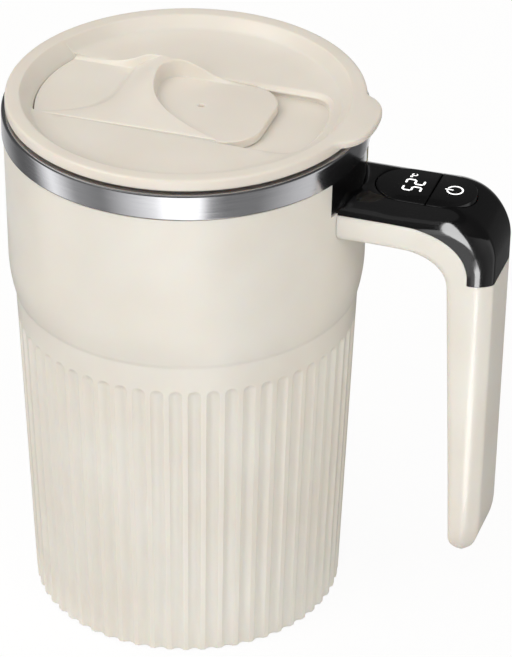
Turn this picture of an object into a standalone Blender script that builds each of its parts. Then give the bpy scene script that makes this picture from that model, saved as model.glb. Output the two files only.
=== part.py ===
# Self-stirring cup with a display handle and a sliding lid.
# Metres, +Z up. The cup stands on its pad at z = 0 with its axis on Z, and its handle reaches along +X.

import math

import bmesh
import bpy
from mathutils import Matrix, Vector

# Clearances and counts that all pieces share
seat_gap = 0.0003
panel_gap = 0.0002
cut_overrun = 0.002
weld_distance = 0.000001
round_sides = 58
ring_sides = 42
disc_sides = 24
boss_sides = 12
screw_sides = 8
lead_sides_share = 1

# Outer shell, from the ground up
shell_lift = 0.0004
lower_height = 0.0877
shoulder_height = 0.0112
upper_height = 0.0330
upper_top_radius = 0.0456
upper_taper = 0.00045
shoulder_step = 0.00165
lower_taper = 0.00355
lower_wall = 0.0018
upper_wall = 0.0020
flute_count = 58
flute_depth = 0.0008
flute_stop = 0.0064
flute_round = 0.0019
groove_share = 0.72
groove_floor_share = 0.40
ledge_rise = 0.0032
ledge_thickness = 0.0040
ledge_width = 0.0058
shoulder_shares = (0.2, 0.4, 0.7)

# Steel band and the steel cup inside it
band_height = 0.0067
band_proud = 0.0004
band_steel = 0.0005
band_roll = 0.0006
cup_steel = 0.0005
jacket_gap = 0.0054
cup_taper = 0.0041
cup_corner = 0.0060
cup_floor_height = 0.0360

# Base cover, its gasket, pad and screws
pad_thickness = 0.0010
pad_margin = 0.0020
pad_edge = 0.0004
gasket_size = 0.0008
base_screw_inset = 0.00125
base_screw_count = 3
base_screw_length = 0.0052
screw_radius = 0.0010
screw_head_radius = 0.0018
base_head_height = 0.0007
screw_head_height = 0.0009
post_count = 3
post_radius = 0.0030
post_circle = 0.0220
post_screw_length = 0.0080

# Motor and its mount plate
mount_thickness = 0.0020
mount_radius = 0.0262
mount_to_hub = 0.0032
motor_radius = 0.0122
motor_length = 0.0123
motor_wall = 0.0006
motor_cap_thickness = 0.0015
motor_terminal = 0.0022
motor_terminal_thickness = 0.0006
motor_terminal_spread = 0.0060
motor_screw_circle = 0.0080
motor_screw_length = 0.0036
shaft_radius = 0.0010
shaft_gap = 0.0002
bush_radius = 0.0030
bush_height = 0.0034
armature_radius = 0.0086
armature_height = 0.0060
commutator_radius = 0.0026
commutator_height = 0.0008
field_magnet_thickness = 0.0020
field_magnet_height = 0.0076
field_magnet_span = math.radians(120)

# Drive hub under the steel floor
hub_radius = 0.0130
hub_height = 0.0045
hub_to_floor = 0.0020
drive_magnet_radius = 0.0040
drive_magnet_height = 0.0030
magnet_circle = 0.0080

# Stirrer on its pin
pin_radius = 0.0015
pin_height = 0.0081
pin_flange_radius = 0.0040
pin_flange_height = 0.0006
stirrer_lift = 0.0004
stirrer_radius = 0.0140
stirrer_disc = 0.0028
stirrer_hub_radius = 0.0046
stirrer_hub_height = 0.0085
stirrer_bore_gap = 0.0004
stirrer_roof = 0.0012
vane_count = 4
vane_thickness = 0.0016
vane_height = 0.0044
vane_reach = 0.0130
stirrer_cap_thickness = 0.0004
stirrer_magnet_radius = 0.0030
stirrer_magnet_height = 0.0018

# Temperature sensor under the steel floor
sensor_length = 0.0060
sensor_width = 0.0040
sensor_height = 0.0018
sensor_inset = 0.0121

# Lid
lid_inset = 0.0010
lid_flange_thickness = 0.0030
lid_reveal = 0.0006
lid_edge = 0.0006
lid_rim_width = 0.0034
lid_basin_depth = 0.0036
lid_basin_slope = 0.0022
lid_basin_round = 0.0008
lid_floor_wall = 0.0018
lid_skirt_wall = 0.0026
lid_skirt_depth = 0.0125
lid_step_width = 0.0020
lid_plug_gap = 0.0004
tab_overhang = 0.0045
tab_half_width = 0.0150
tab_thickness = 0.0018
tab_step_thickness = 0.0024
tab_step_half_width = 0.0120
tab_outline_shares = ((0.0, 1.0), (0.17, 0.85), (0.48, 0.76), (0.78, 0.58), (0.94, 0.34), (1.0, 0.0))
channel_half_width = 0.0152
channel_depth = 0.0028
channel_end_inset = 0.0095
channel_end_corner = 0.0060
channel_wall_inset = 0.0070
rail_depth = 0.0010
rail_height = 0.0015
drink_hole_length = 0.0062
drink_hole_half_width = 0.0080
drink_hole_inset = 0.0065
vent_radius = 0.0009
vent_spacing = 0.0051
seal_height = 0.0030
seal_depth = 0.0014
seal_rise = 0.0030
seal_stretch = 0.0003

# Lid slider: two scoops with a ridge between them
slider_side_gap = 0.00025
slider_end_gap = 0.0008
slider_stop_gap = 0.0011
slider_corner = 0.0090
slider_below_basin = 0.0004
slider_travel = 0.0120
tongue_height = 0.0009
tongue_back_inset = 0.0110
tongue_front_inset = 0.0024
ridge_rear_height = 0.0046
ridge_front_height = 0.0005
ridge_left = 0.0205
ridge_left_flare = 0.0155
ridge_right = 0.0098
ridge_right_flare = 0.0240
ridge_left_power_share = 5.0
ridge_right_power_share = 3.3
ridge_height_power_share = 1.3
ridge_crest_shares = ((0.0, 0.0), (0.2, 0.42), (0.45, 0.78), (0.7, 0.97), (0.86, 1.0), (1.0, 0.0))
rear_wall_peak = -0.0120
rear_wall_right = 0.0105
rear_wall_left_fade = 0.0050
row_shares = (0.0, 0.03, 0.09, 0.18, 0.30, 0.45, 0.62, 0.78, 0.89, 0.95, 0.98, 1.0)
rear_wall_shares = (0.0, 0.0, 0.0, 0.0, 0.0, 0.0, 0.0, 0.0, 0.0, 0.0, 0.85, 1.0)
pad_recess = 0.0010
slider_pad_thickness = 0.0006
slider_pad_margin = 0.0012

# Handle: arm, corner and hanging grip
handle_drop = 0.0055
arm_height = 0.0114
arm_half_width = 0.0133
arm_flat_half = 0.0083
arm_chamfer = 0.0033
grip_half_width = 0.0100
grip_flat_half = 0.0060
grip_chamfer = 0.0040
handle_stand = 0.0365
corner_outer_radius = 0.0120
corner_inner_radius = 0.0107
grip_depth = 0.0115
grip_outer_lean = 0.0013
grip_inner_lean = 0.0024
grip_foot = 0.0278
tip_side_round = 0.0024
tip_angle = math.radians(66)
handle_wall = 0.0016
handle_edge = 0.0008
handle_ridge = 0.0018
handle_inner_round = 0.0022
body_reveal = 0.0004
root_wall = 0.0022
split_drop = 0.0040
split_radius = 0.0160
split_corner_inset = 0.0002
corner_steps = 6
tip_steps = 3

# Notch in the shell and the handle's root plate
notch_half_width = 0.0153
root_plate_thickness = 0.0013
root_plate_recess = 0.0004
neck_half_width = 0.0080
neck_top_drop = 0.0010
lead_spread = 0.0017

# Bracket that holds the handle to the shell
bracket_height = 0.0085
bracket_drop = 0.0013
bracket_thickness = 0.0010
bracket_half_angle = math.radians(24)
bracket_screw_spread = 0.0052
bracket_screw_drop = 0.0048
bracket_screw_length = 0.0098
bracket_boss_radius = 0.0024
bracket_boss_length = 0.0052

# Screws that join the handle's two halves
handle_screw_stand = 0.0130
handle_screw_spread = 0.0094
handle_screw_length = 0.0058
handle_boss_radius = 0.0018
handle_pillar_radius = 0.0027
handle_pillar_height = 0.0030
handle_screw_sink = 0.0016

# Window, button and what is under them
panel_stand = 0.0036
panel_end_inset = 0.0071
panel_half_width = 0.0082
panel_split_stand = 0.0184
panel_split_gap = 0.0003
flange_overlap = 0.0004
flange_thickness = 0.0008
flange_drop = 0.0008
panel_depth = 0.0040
panel_stem_half_width = 0.0060
panel_stem_inset = 0.0036
button_flange_end = 0.0045
button_travel = 0.0005
button_nub_radius = 0.0016
board_thickness = 0.0010
board_half_width = 0.0064
board_stand = 0.0070
board_end_inset = 0.0080
board_rise = 0.0013
board_post_radius = 0.0020
board_post_stand = 0.0191
board_post_spread = 0.0044
board_rest_inset = 0.0016
board_screw_length = 0.0030
board_head_height = 0.0005
board_head_radius = 0.0015
display_length = 0.0090
display_half_width = 0.0062
display_height = 0.0030
display_stand = 0.0128
switch_size = 0.0046
switch_height = 0.0014
switch_plunger_radius = 0.0012
switch_plunger_height = 0.0005
button_stand = 0.0230
button_pad_radius = 0.0040
button_pad_thickness = 0.0006
button_pad_lift = 0.0003

# Grip: battery, carrier, charge board, socket and plug
battery_thickness = 0.0034
battery_half_width = 0.0058
battery_drop = 0.0047
battery_rise = 0.0055
carrier_wall = 0.0007
carrier_floor = 0.0010
charge_board_thickness = 0.0008
charge_board_half_width = 0.0050
charge_board_rise = 0.0017
charge_board_length = 0.0200
socket_width = 0.0089
socket_depth = 0.0028
socket_length = 0.0070
socket_wall = 0.0003
socket_rise = 0.0050
socket_shift = 0.0003
plug_flange_width = 0.0112
plug_flange_depth = 0.0030
plug_flange_thickness = 0.0011
plug_tongue_width = 0.0066
plug_tongue_depth = 0.0014
plug_tongue_length = 0.0080

# Leads inside the cup
lead_radius = 0.0006
lead_turn = 0.0050

# Heights and radii worked out from the sizes above
shoulder_z = shell_lift + lower_height
upper_z = shoulder_z + shoulder_height
band_z = upper_z + upper_height
band_top_z = band_z + band_height
flute_top_z = shoulder_z - flute_stop
shell_top_z = band_top_z - band_steel - seat_gap
upper_foot_radius = upper_top_radius - upper_taper
lower_top_radius = upper_foot_radius - shoulder_step
lower_foot_radius = lower_top_radius - lower_taper
band_radius = upper_top_radius + band_proud
band_inner_radius = band_radius - band_steel
shell_top_radius = band_inner_radius - seat_gap
ledge_z = shell_lift + ledge_rise
ledge_top_z = ledge_z + ledge_thickness

cup_mouth_radius = upper_top_radius - jacket_gap
cup_foot_radius = cup_mouth_radius - cup_taper
cup_floor_z = cup_floor_height
cup_floor_top_z = cup_floor_z + cup_steel
cup_mouth_outer = cup_mouth_radius + cup_steel
cup_foot_outer = cup_foot_radius + cup_steel
sensor_distance = cup_foot_radius - sensor_inset

hub_top_z = cup_floor_z - hub_to_floor
hub_z = hub_top_z - hub_height
mount_top_z = hub_z - mount_to_hub
mount_z = mount_top_z - mount_thickness
motor_top_z = mount_z - seat_gap
motor_z = motor_top_z - motor_length

body_side_radius = upper_top_radius + body_reveal
handle_reach = body_side_radius + handle_stand
handle_screw_distance = body_side_radius + handle_screw_stand
panel_left = body_side_radius + panel_stand
panel_right = handle_reach - panel_end_inset
panel_split = body_side_radius + panel_split_stand
board_left = body_side_radius + board_stand
board_right = handle_reach - board_end_inset
board_post_distance = body_side_radius + board_post_stand
display_centre = body_side_radius + display_stand
button_centre = body_side_radius + button_stand
arm_top_z = band_z - handle_drop
arm_foot_z = arm_top_z - arm_height
split_z = arm_top_z - split_drop
corner_outer_x = handle_reach - corner_outer_radius
corner_outer_z = arm_top_z - corner_outer_radius
grip_inner_x = handle_reach - grip_depth
corner_inner_x = grip_inner_x - corner_inner_radius
corner_inner_z = arm_foot_z - corner_inner_radius
tip_outer_x = handle_reach - grip_outer_lean
tip_inner_x = grip_inner_x + grip_inner_lean
tip_radius = (tip_outer_x - tip_inner_x) / 2
tip_x = (tip_outer_x + tip_inner_x) / 2
port_x = tip_x + socket_shift
socket_foot = grip_foot + socket_rise
charge_board_foot = socket_foot + charge_board_rise
battery_foot = charge_board_foot + charge_board_length + battery_rise
battery_top_z = corner_inner_z - battery_drop
battery_length = battery_top_z - battery_foot
tip_z = grip_foot + tip_radius * math.sin(tip_angle)
split_x = grip_inner_x + (grip_depth - handle_wall) / 2 - split_radius + split_corner_inset
split_end_z = split_z - split_radius
cavity_top_z = arm_top_z - handle_wall
cavity_floor_z = arm_foot_z + handle_wall
neck_z = split_z + seat_gap * 2
neck_top_z = arm_top_z - neck_top_drop
lead_hole_z = (neck_z + neck_top_z) / 2
lead_hole_radius = lead_radius + seat_gap
board_z = cavity_floor_z + board_rise
board_top_z = board_z + board_thickness
flange_z = cavity_top_z - flange_drop - flange_thickness
display_z = board_top_z + seat_gap
plunger_top_z = display_z + switch_height + switch_plunger_height
button_pad_z = plunger_top_z + button_pad_lift
button_pad_top_z = button_pad_z + button_pad_thickness

lid_flange_radius = band_radius - lid_inset
tab_reach = lid_flange_radius + tab_overhang
channel_wall_radius = lid_flange_radius - channel_wall_inset
channel_end_radius = lid_flange_radius - channel_end_inset
drink_hole_distance = channel_wall_radius - drink_hole_inset
vent_distance = drink_hole_distance - vent_spacing
slider_left_radius = channel_wall_radius - slider_end_gap
slider_right_end = channel_end_radius - slider_travel - slider_stop_gap
lid_floor_rest_z = band_top_z + seat_gap
lid_flange_z = band_top_z + lid_reveal
lid_top_z = lid_flange_z + lid_flange_thickness
basin_z = lid_top_z - lid_basin_depth
channel_z = basin_z - channel_depth
lid_under_z = channel_z - lid_floor_wall
lid_skirt_z = band_top_z - lid_skirt_depth
basin_radius = lid_flange_radius - lid_rim_width - lid_basin_slope - lid_basin_round
slider_z = channel_z + seat_gap
scoop_z = basin_z - slider_below_basin
slider_half_width = channel_half_width - slider_side_gap


def cup_outer_radius(z):
    # Outside of the steel cup's tapered wall.
    share = (z - cup_floor_z) / (band_top_z - cup_floor_z)
    return cup_foot_outer + (cup_mouth_outer - cup_foot_outer) * share


def shell_outer_radius(z):
    # Outside of the shell on its ridges, with the shoulder that flares out and levels off.
    if z <= shoulder_z:
        share = (z - shell_lift) / lower_height
        return lower_foot_radius + (lower_top_radius - lower_foot_radius) * share
    if z >= upper_z:
        share = (z - upper_z) / upper_height
        return upper_foot_radius + (upper_top_radius - upper_foot_radius) * min(share, 1.0)
    share = (z - shoulder_z) / shoulder_height
    return upper_foot_radius - shoulder_step * (1 - share) ** 2


def shell_inner_radius(z):
    # Inside of the shell: one wall behind the flutes, another above the shoulder.
    lower_inset = flute_depth + lower_wall
    if z <= shoulder_z:
        return shell_outer_radius(z) - lower_inset
    if z >= upper_z:
        return shell_outer_radius(z) - upper_wall
    share = (z - shoulder_z) / shoulder_height
    return shell_outer_radius(z) - lower_inset + (lower_inset - upper_wall) * share


def flat_radius(radius, sides=round_sides):
    # Distance from the axis to the middle of a facet.
    return radius * math.cos(math.pi / sides)


lid_plug_radius = cup_outer_radius(lid_skirt_z) - cup_steel - lid_plug_gap
base_radius = shell_inner_radius(shell_lift)
cover_radius = flat_radius(base_radius) - seat_gap
cover_top_z = ledge_z - seat_gap
ledge_radius = base_radius - ledge_width
pad_radius = cover_radius - pad_margin
base_screw_circle = ledge_radius + base_screw_inset


# Materials

def finish(name, colour, roughness, metallic=0.0):
    made = bpy.data.materials.new(name)
    made.use_nodes = True
    shader = made.node_tree.nodes["Principled BSDF"]
    shader.inputs["Base Color"].default_value = (*colour, 1.0)
    shader.inputs["Roughness"].default_value = roughness
    shader.inputs["Metallic"].default_value = metallic
    made.diffuse_color = (*colour, 1.0)
    return made


# Mesh tools

def new_piece(name, form, look=None):
    # One named object from a finished bmesh, smooth but for its real edges.
    bmesh.ops.recalc_face_normals(form, faces=form.faces)
    mesh = bpy.data.meshes.new(name)
    form.to_mesh(mesh)
    form.free()
    mesh.shade_smooth()
    mesh.set_sharp_from_angle(angle=math.radians(35))
    piece = bpy.data.objects.new(name, mesh)
    bpy.context.scene.collection.objects.link(piece)
    if look:
        mesh.materials.append(look)
    return piece


def combine(piece, tool, operation):
    # Joins, cuts or keeps the overlap of a piece with a tool, which is then removed.
    step = piece.modifiers.new(operation.lower(), "BOOLEAN")
    step.operation = operation
    step.object = tool
    graph = bpy.context.evaluated_depsgraph_get()
    mesh = bpy.data.meshes.new_from_object(piece.evaluated_get(graph))
    form = bmesh.new()
    form.from_mesh(mesh)
    bmesh.ops.remove_doubles(form, verts=form.verts[:], dist=weld_distance)
    form.to_mesh(mesh)
    form.free()
    look = piece.data.materials[0] if piece.data.materials else None
    old_mesh = piece.data
    piece.modifiers.clear()
    piece.data = mesh
    mesh.name = piece.name
    mesh.materials.clear()
    if look:
        mesh.materials.append(look)
    mesh.shade_smooth()
    mesh.set_sharp_from_angle(angle=math.radians(35))
    bpy.data.meshes.remove(old_mesh)
    bpy.data.objects.remove(tool)
    return piece


def cut(piece, tool):
    return combine(piece, tool, "DIFFERENCE")


def join(piece, tool):
    return combine(piece, tool, "UNION")


def keep(piece, tool):
    return combine(piece, tool, "INTERSECT")


def copy_piece(piece, name):
    twin = piece.copy()
    twin.data = piece.data.copy()
    twin.name = name
    bpy.context.scene.collection.objects.link(twin)
    return twin


def skin_rings(form, rings, closed=False):
    # Bridges rings of equal count, and caps the two ends unless the stack closes on itself.
    count = len(rings[0])
    pairs = list(zip(rings, rings[1:]))
    if closed:
        pairs.append((rings[-1], rings[0]))
    for low, high in pairs:
        for index in range(count):
            after = (index + 1) % count
            form.faces.new((low[index], low[after], high[after], high[index]))
    if not closed:
        form.faces.new(rings[0])
        form.faces.new(rings[-1])


def turn(form, profile, sides, centre=(0.0, 0.0)):
    # Turns a closed profile of (radius, z) about a vertical axis. A profile that starts and ends
    # on the axis makes a solid, any other makes a ring.
    x, y = centre
    on_axis = profile[0][0] == 0
    points = profile[1:-1] if on_axis else profile
    rings = []
    for radius, z in points:
        ring = []
        for index in range(sides):
            angle = 2 * math.pi * (index + 0.5) / sides
            ring.append(form.verts.new((x + radius * math.cos(angle), y + radius * math.sin(angle), z)))
        rings.append(ring)
    for low, high in zip(rings, rings[1:] if on_axis else rings[1:] + rings[:1]):
        for index in range(sides):
            after = (index + 1) % sides
            form.faces.new((low[index], low[after], high[after], high[index]))
    if on_axis:
        form.faces.new(rings[0])
        form.faces.new(rings[-1])
    return form


def turned(name, profile, sides, look=None, centre=(0.0, 0.0)):
    return new_piece(name, turn(bmesh.new(), profile, sides, centre), look)


def rod_profile(radius, low, high, edge=0.0):
    # Profile of a plain disc or rod, with a small chamfer if asked for.
    if edge:
        return [(0, low), (radius - edge, low), (radius, low + edge), (radius, high - edge),
                (radius - edge, high), (0, high)]
    return [(0, low), (radius, low), (radius, high), (0, high)]


def tube_profile(inner, outer, low, high):
    return [(inner, low), (outer, low), (outer, high), (inner, high)]


def rod(name, radius, low, high, sides, look=None, centre=(0.0, 0.0), edge=0.0):
    return turned(name, rod_profile(radius, low, high, edge), sides, look, centre)


def add_box(form, low, high):
    corners = [(x, y, z) for z in (low[2], high[2]) for x, y in
               ((low[0], low[1]), (high[0], low[1]), (high[0], high[1]), (low[0], high[1]))]
    verts = [form.verts.new(corner) for corner in corners]
    skin_rings(form, [verts[:4], verts[4:]])
    return form


def block(name, low, high, look=None, edge=0.0):
    form = add_box(bmesh.new(), low, high)
    if edge:
        bmesh.ops.bevel(form, geom=form.edges[:], offset=edge, segments=1, affect="EDGES")
    return new_piece(name, form, look)


def add_prism(form, outline, low, high):
    rings = [[form.verts.new((x, y, z)) for x, y in outline] for z in (low, high)]
    skin_rings(form, rings)
    return form


def prism(name, outline, low, high, look=None):
    return new_piece(name, add_prism(bmesh.new(), outline, low, high), look)


def side_prism(name, outline, half_width):
    # Prism of an (x, z) outline across the handle, along Y.
    form = bmesh.new()
    rings = [[form.verts.new((x, y, z)) for x, z in outline] for y in (-half_width, half_width)]
    skin_rings(form, rings)
    return new_piece(name, form)


def lay_along_x(form, x, y, z):
    # Turns a form made about Z so that its +Z points along +X, and moves it there.
    move = Matrix.Translation((x, y, z)) @ Matrix.Rotation(math.radians(90), 4, "Y")
    bmesh.ops.transform(form, matrix=move, verts=form.verts[:])
    return form


def rod_along_x(name, radius, x, length, y, z, sides=boss_sides, look=None):
    form = turn(bmesh.new(), rod_profile(radius, 0, length), sides)
    return new_piece(name, lay_along_x(form, x, y, z), look)


shank_up = (0.0, 0.0, 0.0)
shank_down = (math.pi, 0.0, 0.0)
shank_out = (0.0, math.pi / 2, 0.0)


def screw_profile(head_radius, head_height, shank_radius, shank_length):
    # Head at the bottom, shank above it.
    return [(0, 0), (head_radius, 0), (head_radius, head_height), (shank_radius, head_height),
            (shank_radius, head_height + shank_length), (0, head_height + shank_length)]


def place_screws(name, places, head_radius, head_height, length, tilt, look):
    # Identical screws, each with its head at its place and its shank along the tilted +Z.
    first = turned(name + "_1", screw_profile(head_radius, head_height, screw_radius, length),
                   screw_sides, look)
    screws = [first]
    for number in range(2, len(places) + 1):
        twin = bpy.data.objects.new(name + "_" + str(number), first.data)
        bpy.context.scene.collection.objects.link(twin)
        screws.append(twin)
    for screw, place in zip(screws, places):
        screw.location = place
        screw.rotation_euler = tilt
    return screws


def ring_places(radius, count, start=0.0):
    return [(radius * math.cos(start + 2 * math.pi * index / count),
             radius * math.sin(start + 2 * math.pi * index / count)) for index in range(count)]


def at_height(places, z):
    return [(x, y, z) for x, y in places]


def arc_points(centre, radius, start, end, steps):
    points = []
    for index in range(steps + 1):
        angle = start + (end - start) * index / steps
        points.append((centre[0] + radius * math.cos(angle), centre[1] + radius * math.sin(angle)))
    return points


def arc_block(form, inner, outer, low, high, start, end, steps):
    outside = arc_points((0.0, 0.0), outer, start, end, steps)
    inside = arc_points((0.0, 0.0), inner, start, end, steps)
    return add_prism(form, outside + inside[::-1], low, high)


def lead(name, points, look):
    # A lead as a round tube along a smooth curve through its own points.
    curve = bpy.data.curves.new(name, "CURVE")
    curve.dimensions = "3D"
    curve.bevel_depth = lead_radius
    curve.bevel_resolution = lead_sides_share
    curve.use_fill_caps = True
    path = curve.splines.new("POLY")
    smooth = smooth_route(points)
    path.points.add(len(smooth) - 1)
    for point, place in zip(path.points, smooth):
        point.co = (*place, 1.0)
    curve.materials.append(look)
    piece = bpy.data.objects.new(name, curve)
    bpy.context.scene.collection.objects.link(piece)
    return piece


def smooth_route(points, steps=4):
    # Catmull-Rom curve through the given points.
    knots = [Vector(point) for point in points]
    knots = [knots[0] * 2 - knots[1]] + knots + [knots[-1] * 2 - knots[-2]]
    route = []
    for index in range(1, len(knots) - 2):
        before, start, end, after = knots[index - 1:index + 3]
        for step in range(steps):
            t = step / steps
            route.append(0.5 * (2 * start + (end - before) * t
                                + (2 * before - 5 * start + 4 * end - after) * t ** 2
                                + (3 * start - before - 3 * end + after) * t ** 3))
    route.append(knots[-2])
    return route


# Cup body

def make_outer_shell(look):
    form = bmesh.new()
    pitch = 2 * math.pi / flute_count

    def fluted_ring(z, depth_share, width_share):
        outer = shell_outer_radius(z)
        ring = []
        for index in range(flute_count):
            middle = index * pitch
            floor = width_share * groove_floor_share * pitch / 2
            edge = width_share * groove_share * pitch / 2
            inner = outer - flute_depth * depth_share
            for angle, radius in ((-edge, outer), (-floor, inner), (floor, inner), (edge, outer)):
                spot = middle + angle
                ring.append(form.verts.new((radius * math.cos(spot), radius * math.sin(spot), z)))
        return ring

    def plain_ring(radius, z):
        ring = []
        for index in range(round_sides):
            spot = 2 * math.pi * (index + 0.5) / round_sides
            ring.append(form.verts.new((radius * math.cos(spot), radius * math.sin(spot), z)))
        return ring

    top_round_shares = ((0.0, 1.0, 1.0), (0.62, 0.82, 0.80), (1.0, 0.15, 0.24))
    rings = [fluted_ring(shell_lift, 1.0, 1.0)]
    for height_share, depth_share, width_share in top_round_shares:
        z = flute_top_z - flute_round * (1 - height_share)
        rings.append(fluted_ring(z, depth_share, width_share))
    for low, high in zip(rings, rings[1:]):
        for index in range(len(low)):
            after = (index + 1) % len(low)
            form.faces.new((low[index], low[after], high[after], high[index]))

    outside = [(shell_outer_radius(shoulder_z), shoulder_z)]
    for height_share in shoulder_shares:
        z = shoulder_z + shoulder_height * height_share
        outside.append((shell_outer_radius(z), z))
    outside += [(shell_outer_radius(upper_z), upper_z), (upper_top_radius, band_z - seat_gap),
                (shell_top_radius, band_z - seat_gap), (shell_top_radius, shell_top_z)]
    inside = [(shell_inner_radius(band_z), shell_top_z), (shell_inner_radius(upper_z), upper_z),
              (shell_inner_radius(shoulder_z), shoulder_z), (shell_inner_radius(ledge_top_z), ledge_top_z),
              (ledge_radius, ledge_top_z), (ledge_radius, ledge_z), (base_radius, ledge_z),
              (base_radius, shell_lift)]
    smooth_rings = [plain_ring(radius, z) for radius, z in outside + inside]
    for low, high in zip(smooth_rings, smooth_rings[1:]):
        for index in range(round_sides):
            after = (index + 1) % round_sides
            form.faces.new((low[index], low[after], high[after], high[index]))

    def fan(fluted, plain):
        # Joins a ring of four points a flute to a ring of one point between flutes.
        count = len(fluted)
        for index in range(round_sides):
            before = (index - 1) % round_sides
            four = [fluted[4 * index + step] for step in range(4)]
            for low, high in zip(four, four[1:]):
                pick = before if low is four[0] else index
                form.faces.new((low, high, plain[pick]))
                if low is four[0]:
                    form.faces.new((high, plain[index], plain[before]))
            form.faces.new((four[3], fluted[(4 * index + 4) % count], plain[index]))

    fan(rings[-1], smooth_rings[0])
    fan(rings[0], smooth_rings[-1])
    shell = new_piece("outer_shell", form, look)

    notch = block("notch", (0.0, -notch_half_width, split_z),
                  (band_radius + cut_overrun, notch_half_width, band_top_z + cut_overrun))
    cut(shell, notch)
    for y in (-bracket_screw_spread, bracket_screw_spread):
        hole = rod_along_x("hole", screw_radius + seat_gap, bracket_face_x,
                           upper_top_radius - bracket_face_x + cut_overrun, y, bracket_screw_z)
        cut(shell, hole)
    for x, y in base_screw_places:
        hole = rod("hole", screw_radius + seat_gap, ledge_z - cut_overrun, base_screw_top_z + seat_gap,
                   boss_sides, centre=(x, y))
        cut(shell, hole)
    return shell


bracket_screw_z = split_z - bracket_screw_drop
base_screw_places = ring_places(base_screw_circle, base_screw_count, math.radians(30))
base_screw_z = pad_thickness + seat_gap
base_screw_top_z = base_screw_z + base_head_height + base_screw_length
post_places = ring_places(post_circle, post_count, math.radians(60))
post_top_z = mount_z - seat_gap


def make_rim_band(look):
    lip = cup_mouth_outer + seat_gap
    profile = [
        (band_inner_radius, band_z), (band_radius - band_steel / 2, band_z),
        (band_radius, band_z + band_roll), (band_radius, band_top_z - band_roll),
        (band_radius - band_roll / 3, band_top_z - band_roll / 3), (band_radius - band_roll, band_top_z),
        (lip, band_top_z), (lip, band_top_z - band_steel),
        (band_inner_radius, band_top_z - band_steel),
    ]
    return turned("rim_band", profile, round_sides, look)


def make_inner_cup(look):
    corner_z = cup_floor_z + cup_corner
    foot = cup_outer_radius(corner_z)
    outside = [(0, cup_floor_z)]
    outside += arc_points((foot - cup_corner, corner_z), cup_corner, -math.pi / 2, 0.0, 4)
    outside.append((cup_mouth_outer, band_top_z))
    inner_corner = cup_corner - cup_steel
    inside = [(cup_mouth_outer - cup_steel, band_top_z)]
    inside += arc_points((foot - cup_corner, corner_z), inner_corner, 0.0, -math.pi / 2, 4)
    inside.append((0, cup_floor_top_z))
    return turned("inner_cup", outside + inside, ring_sides, look)


def make_pivot_pin(look):
    foot = cup_floor_top_z + seat_gap
    flange_top = foot + pin_flange_height
    profile = [(0, foot), (pin_flange_radius, foot), (pin_flange_radius, flange_top),
               (pin_radius, flange_top), (pin_radius, foot + pin_height), (0, foot + pin_height)]
    return turned("pivot_pin", profile, boss_sides, look)


def make_base_cover(look):
    recess = base_screw_z
    groove_in = gasket_radius - gasket_size / 2 - seat_gap
    groove_out = gasket_radius + gasket_size / 2 + seat_gap
    groove_z = cover_top_z - gasket_size - seat_gap
    wall = pad_radius + seat_gap
    profile = [(0, recess), (wall, recess), (wall, shell_lift), (cover_radius, shell_lift),
               (cover_radius, cover_top_z), (groove_out, cover_top_z), (groove_out, groove_z),
               (groove_in, groove_z), (groove_in, cover_top_z), (0, cover_top_z)]
    cover = turned("base_cover", profile, ring_sides, look)
    for place in post_places:
        post = rod("post", post_radius, recess + (cover_top_z - recess) / 2, post_top_z, boss_sides, centre=place)
        join(cover, post)
        bore = rod("bore", screw_radius + seat_gap, post_top_z - post_screw_length, post_top_z + cut_overrun,
                   screw_sides, centre=place)
        cut(cover, bore)
    for place in base_screw_places:
        bore = rod("bore", screw_radius + seat_gap, recess - cut_overrun, cover_top_z + cut_overrun,
                   screw_sides, centre=place)
        cut(cover, bore)
        sink = rod("sink", screw_head_radius + seat_gap, recess - cut_overrun,
                   recess + base_head_height + seat_gap, screw_sides, centre=place)
        cut(cover, sink)
    return cover


gasket_radius = (cover_radius + base_screw_circle + screw_radius + 2 * seat_gap) / 2


def make_base_seals(soft_look):
    gasket = turned("base_gasket",
                    tube_profile(gasket_radius - gasket_size / 2, gasket_radius + gasket_size / 2,
                                 cover_top_z - gasket_size, cover_top_z), ring_sides, soft_look)
    pad = rod("base_pad", pad_radius, 0.0, pad_thickness, ring_sides, soft_look, edge=pad_edge)
    return gasket, pad


# Motor and drive

def make_motor_mount(look):
    mount = rod("motor_mount", mount_radius, mount_z, mount_top_z, disc_sides, look)
    holes = [((0.0, 0.0), bush_radius + seat_gap)]
    holes += [(place, screw_radius + seat_gap) for place in post_places + motor_screw_places]
    for place, radius in holes:
        cut(mount, rod("hole", radius, mount_z - cut_overrun, mount_top_z + cut_overrun, boss_sides,
                       centre=place))
    return mount


motor_screw_places = ring_places(motor_screw_circle, 2)
motor_inner_radius = motor_radius - motor_wall
bush_hole_radius = bush_radius + seat_gap


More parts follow.
